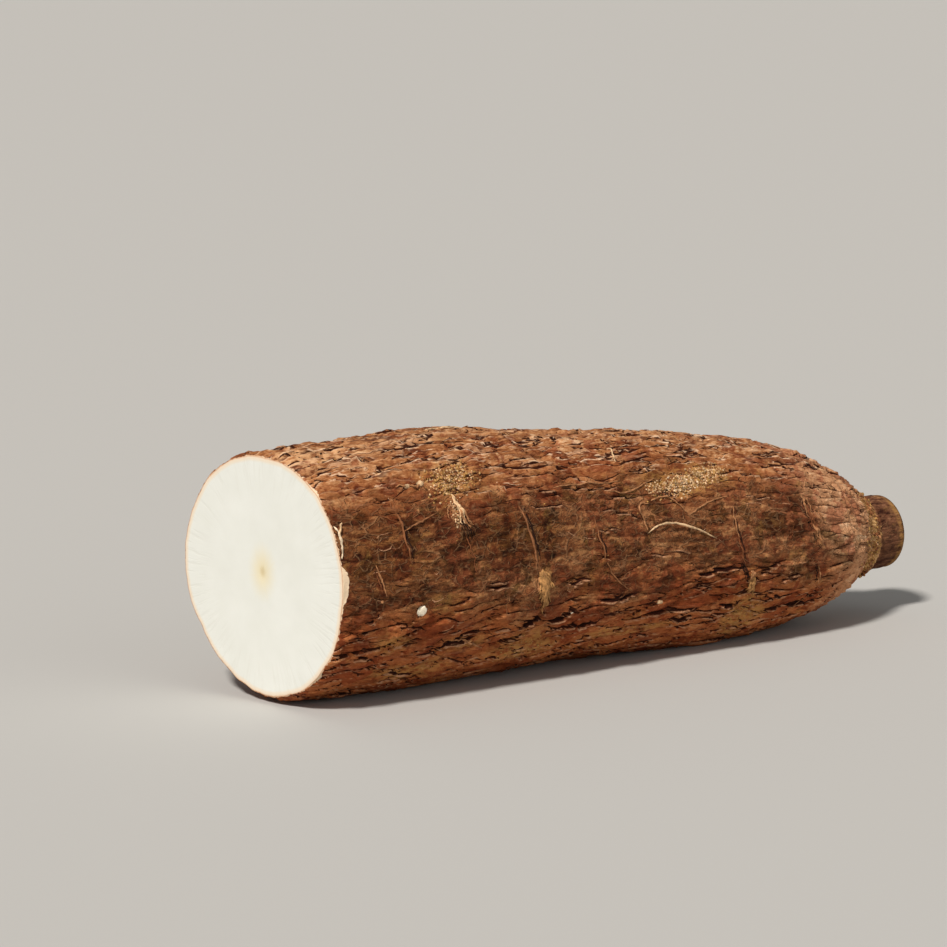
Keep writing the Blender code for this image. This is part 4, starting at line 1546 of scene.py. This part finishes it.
tree.links.new(bump.outputs[0], shader.inputs["Normal"])
for piece in (rootlets_and_shadows, threads, crumbs_and_shade, nubs):
    piece.data.materials.append(thread_finish)

# %% [markdown]
# The flesh is packed starch: white, slightly moist, and so a little glossier than the bark. Fine rays
# run from the yellowish pith to the rim, a touch greyer toward the edge, and the plug's last millimetre
# fades into the cream of the rind. To draw the rays, the noise is read on a circle: the direction from
# the middle is a place on it, and the way out along a ray changes that place only a little.

# %% Flesh material
RAYS = 26.0
CLOUD_MM = 9.0
PITH_UP = (0.0, 0.0, 1.0 * MM)

flesh_finish, tree, shader = new_material("fresh cassava flesh")
out_share = add_node(tree, "ShaderNodeAttribute", {"attribute_name": "share_out"}).outputs["Fac"]
place = add_node(tree, "ShaderNodeTexCoord").outputs["Object"]
centred = add_node(tree, VECTOR_MATH, SUBTRACT, (place, tuple(rim_centre * MM)))
apart = add_node(tree, "ShaderNodeSeparateXYZ", None, (centred,)).outputs
ray_turn = add_node(tree, MATH, {"operation": "ARCTAN2"}, (apart["Z"], apart["Y"]))
ray_cos = add_node(tree, MATH, {"operation": "COSINE"}, (ray_turn,))
ray_sin = add_node(tree, MATH, {"operation": "SINE"}, (ray_turn,))
ray_place = add_node(tree, "ShaderNodeCombineXYZ", None, (ray_cos, ray_sin, out_share))
ray_place = add_node(tree, "ShaderNodeMapping", None, {"Vector": ray_place, "Scale": (1.0, 1.0, 0.12)})
rays = add_node(tree, NOISE, None, {"Vector": ray_place, "Scale": RAYS, "Detail": 3.0, "Roughness": 0.6})
ray_fade = add_node(tree, MAP_RANGE, SMOOTH, (out_share, 0.6, 0.97, 0.08, 1.0))
ray_line = add_node(tree, MAP_RANGE, SMOOTH, (rays, 0.48, 0.66, 0.0, 0.55))
ray_share = add_node(tree, MATH, MULTIPLY, (ray_line, ray_fade))
cloud = add_node(tree, NOISE, None, {"Vector": place, "Scale": 1 / (CLOUD_MM * MM), "Detail": 3.0})
pith_place = add_node(tree, VECTOR_MATH, SUBTRACT, (centred, PITH_UP))
pith_oval = add_node(tree, "ShaderNodeMapping", None, {"Vector": pith_place, "Scale": (0.0, 1.0, 0.72)})
pith_far = add_node(tree, VECTOR_MATH, {"operation": "LENGTH"}, (pith_oval,)).outputs["Value"]
pith_far = add_node(tree, MATH, MULTIPLY_ADD, (rays, 2.2 * MM, pith_far))
pith_share = add_node(tree, MAP_RANGE, SMOOTH, (pith_far, 7.5 * MM, 1.0 * MM, 0.0, 0.7))
pith_dot = add_node(tree, MAP_RANGE, SMOOTH, (pith_far, 2.6 * MM, 1.2 * MM, 0.0, 0.4))
rind_here = add_node(tree, MAP_RANGE, SMOOTH, (out_share, 0.962, 0.998, 0.0, 0.8))
white = add_ramp(tree, cloud, ((0.3, "#e3e5de"), (0.7, "#e8eae4")))
for share, over in (
    (ray_share, linear("#dfe0d8")),
    (pith_share, linear("#e9d8a6")),
    (pith_dot, linear("#c4a86a")),
    (rind_here, linear("#eddac0")),
):
    white = add_node(tree, MIX, PAINT, {0: share, MIX_UNDER: white, MIX_OVER: over}).outputs[MIX_RESULT]
tree.links.new(white, shader.inputs["Base Color"])
shader.inputs["Roughness"].default_value = 0.5
shader.inputs["Specular IOR Level"].default_value = 0.35
bump = add_node(tree, "ShaderNodeBump", None, {"Height": ray_share, "Strength": 0.6, "Distance": -0.1 * MM})
tree.links.new(bump.outputs[0], shader.inputs["Normal"])
flesh.data.materials.append(flesh_finish)

# %% [markdown]
# The neck's wood is pale tan and fibrous inside, and gets browner and duller toward its weathered rim.

# %% Neck wood material
WOOD_MM = 1.5

wood_finish, tree, shader = new_material("broken root wood")
out_share = add_node(tree, "ShaderNodeAttribute", {"attribute_name": "share_out"}).outputs["Fac"]
place = add_node(tree, "ShaderNodeTexCoord").outputs["Object"]
wood_noise = add_node(tree, NOISE, None, {
    "Vector": place, "Scale": 1 / (WOOD_MM * MM), "Detail": 5.0, "Roughness": 0.7,
})
wood_tone = add_node(tree, MATH, MULTIPLY_ADD, (out_share, -0.25, wood_noise))
wood = add_ramp(tree, wood_tone, ((0.15, "#5e3d22"), (0.35, "#9a6f41"), (0.5, "#c9a573"), (0.7, "#d9bf92")))
tree.links.new(wood.outputs[0], shader.inputs["Base Color"])
shader.inputs["Roughness"].default_value = 0.85
bump = add_node(tree, "ShaderNodeBump", None, {"Height": wood_noise, "Strength": 0.8, "Distance": 0.4 * MM})
tree.links.new(bump.outputs[0], shader.inputs["Normal"])
neck_wood.data.materials.append(wood_finish)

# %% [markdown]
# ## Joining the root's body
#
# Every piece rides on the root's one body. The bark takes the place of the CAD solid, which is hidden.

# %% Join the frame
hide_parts("cassava_root")
for piece in (bark, *flakes, rootlets_and_shadows, threads, crumbs_and_shade, nubs, neck_wood, flesh):
    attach(piece, "root")
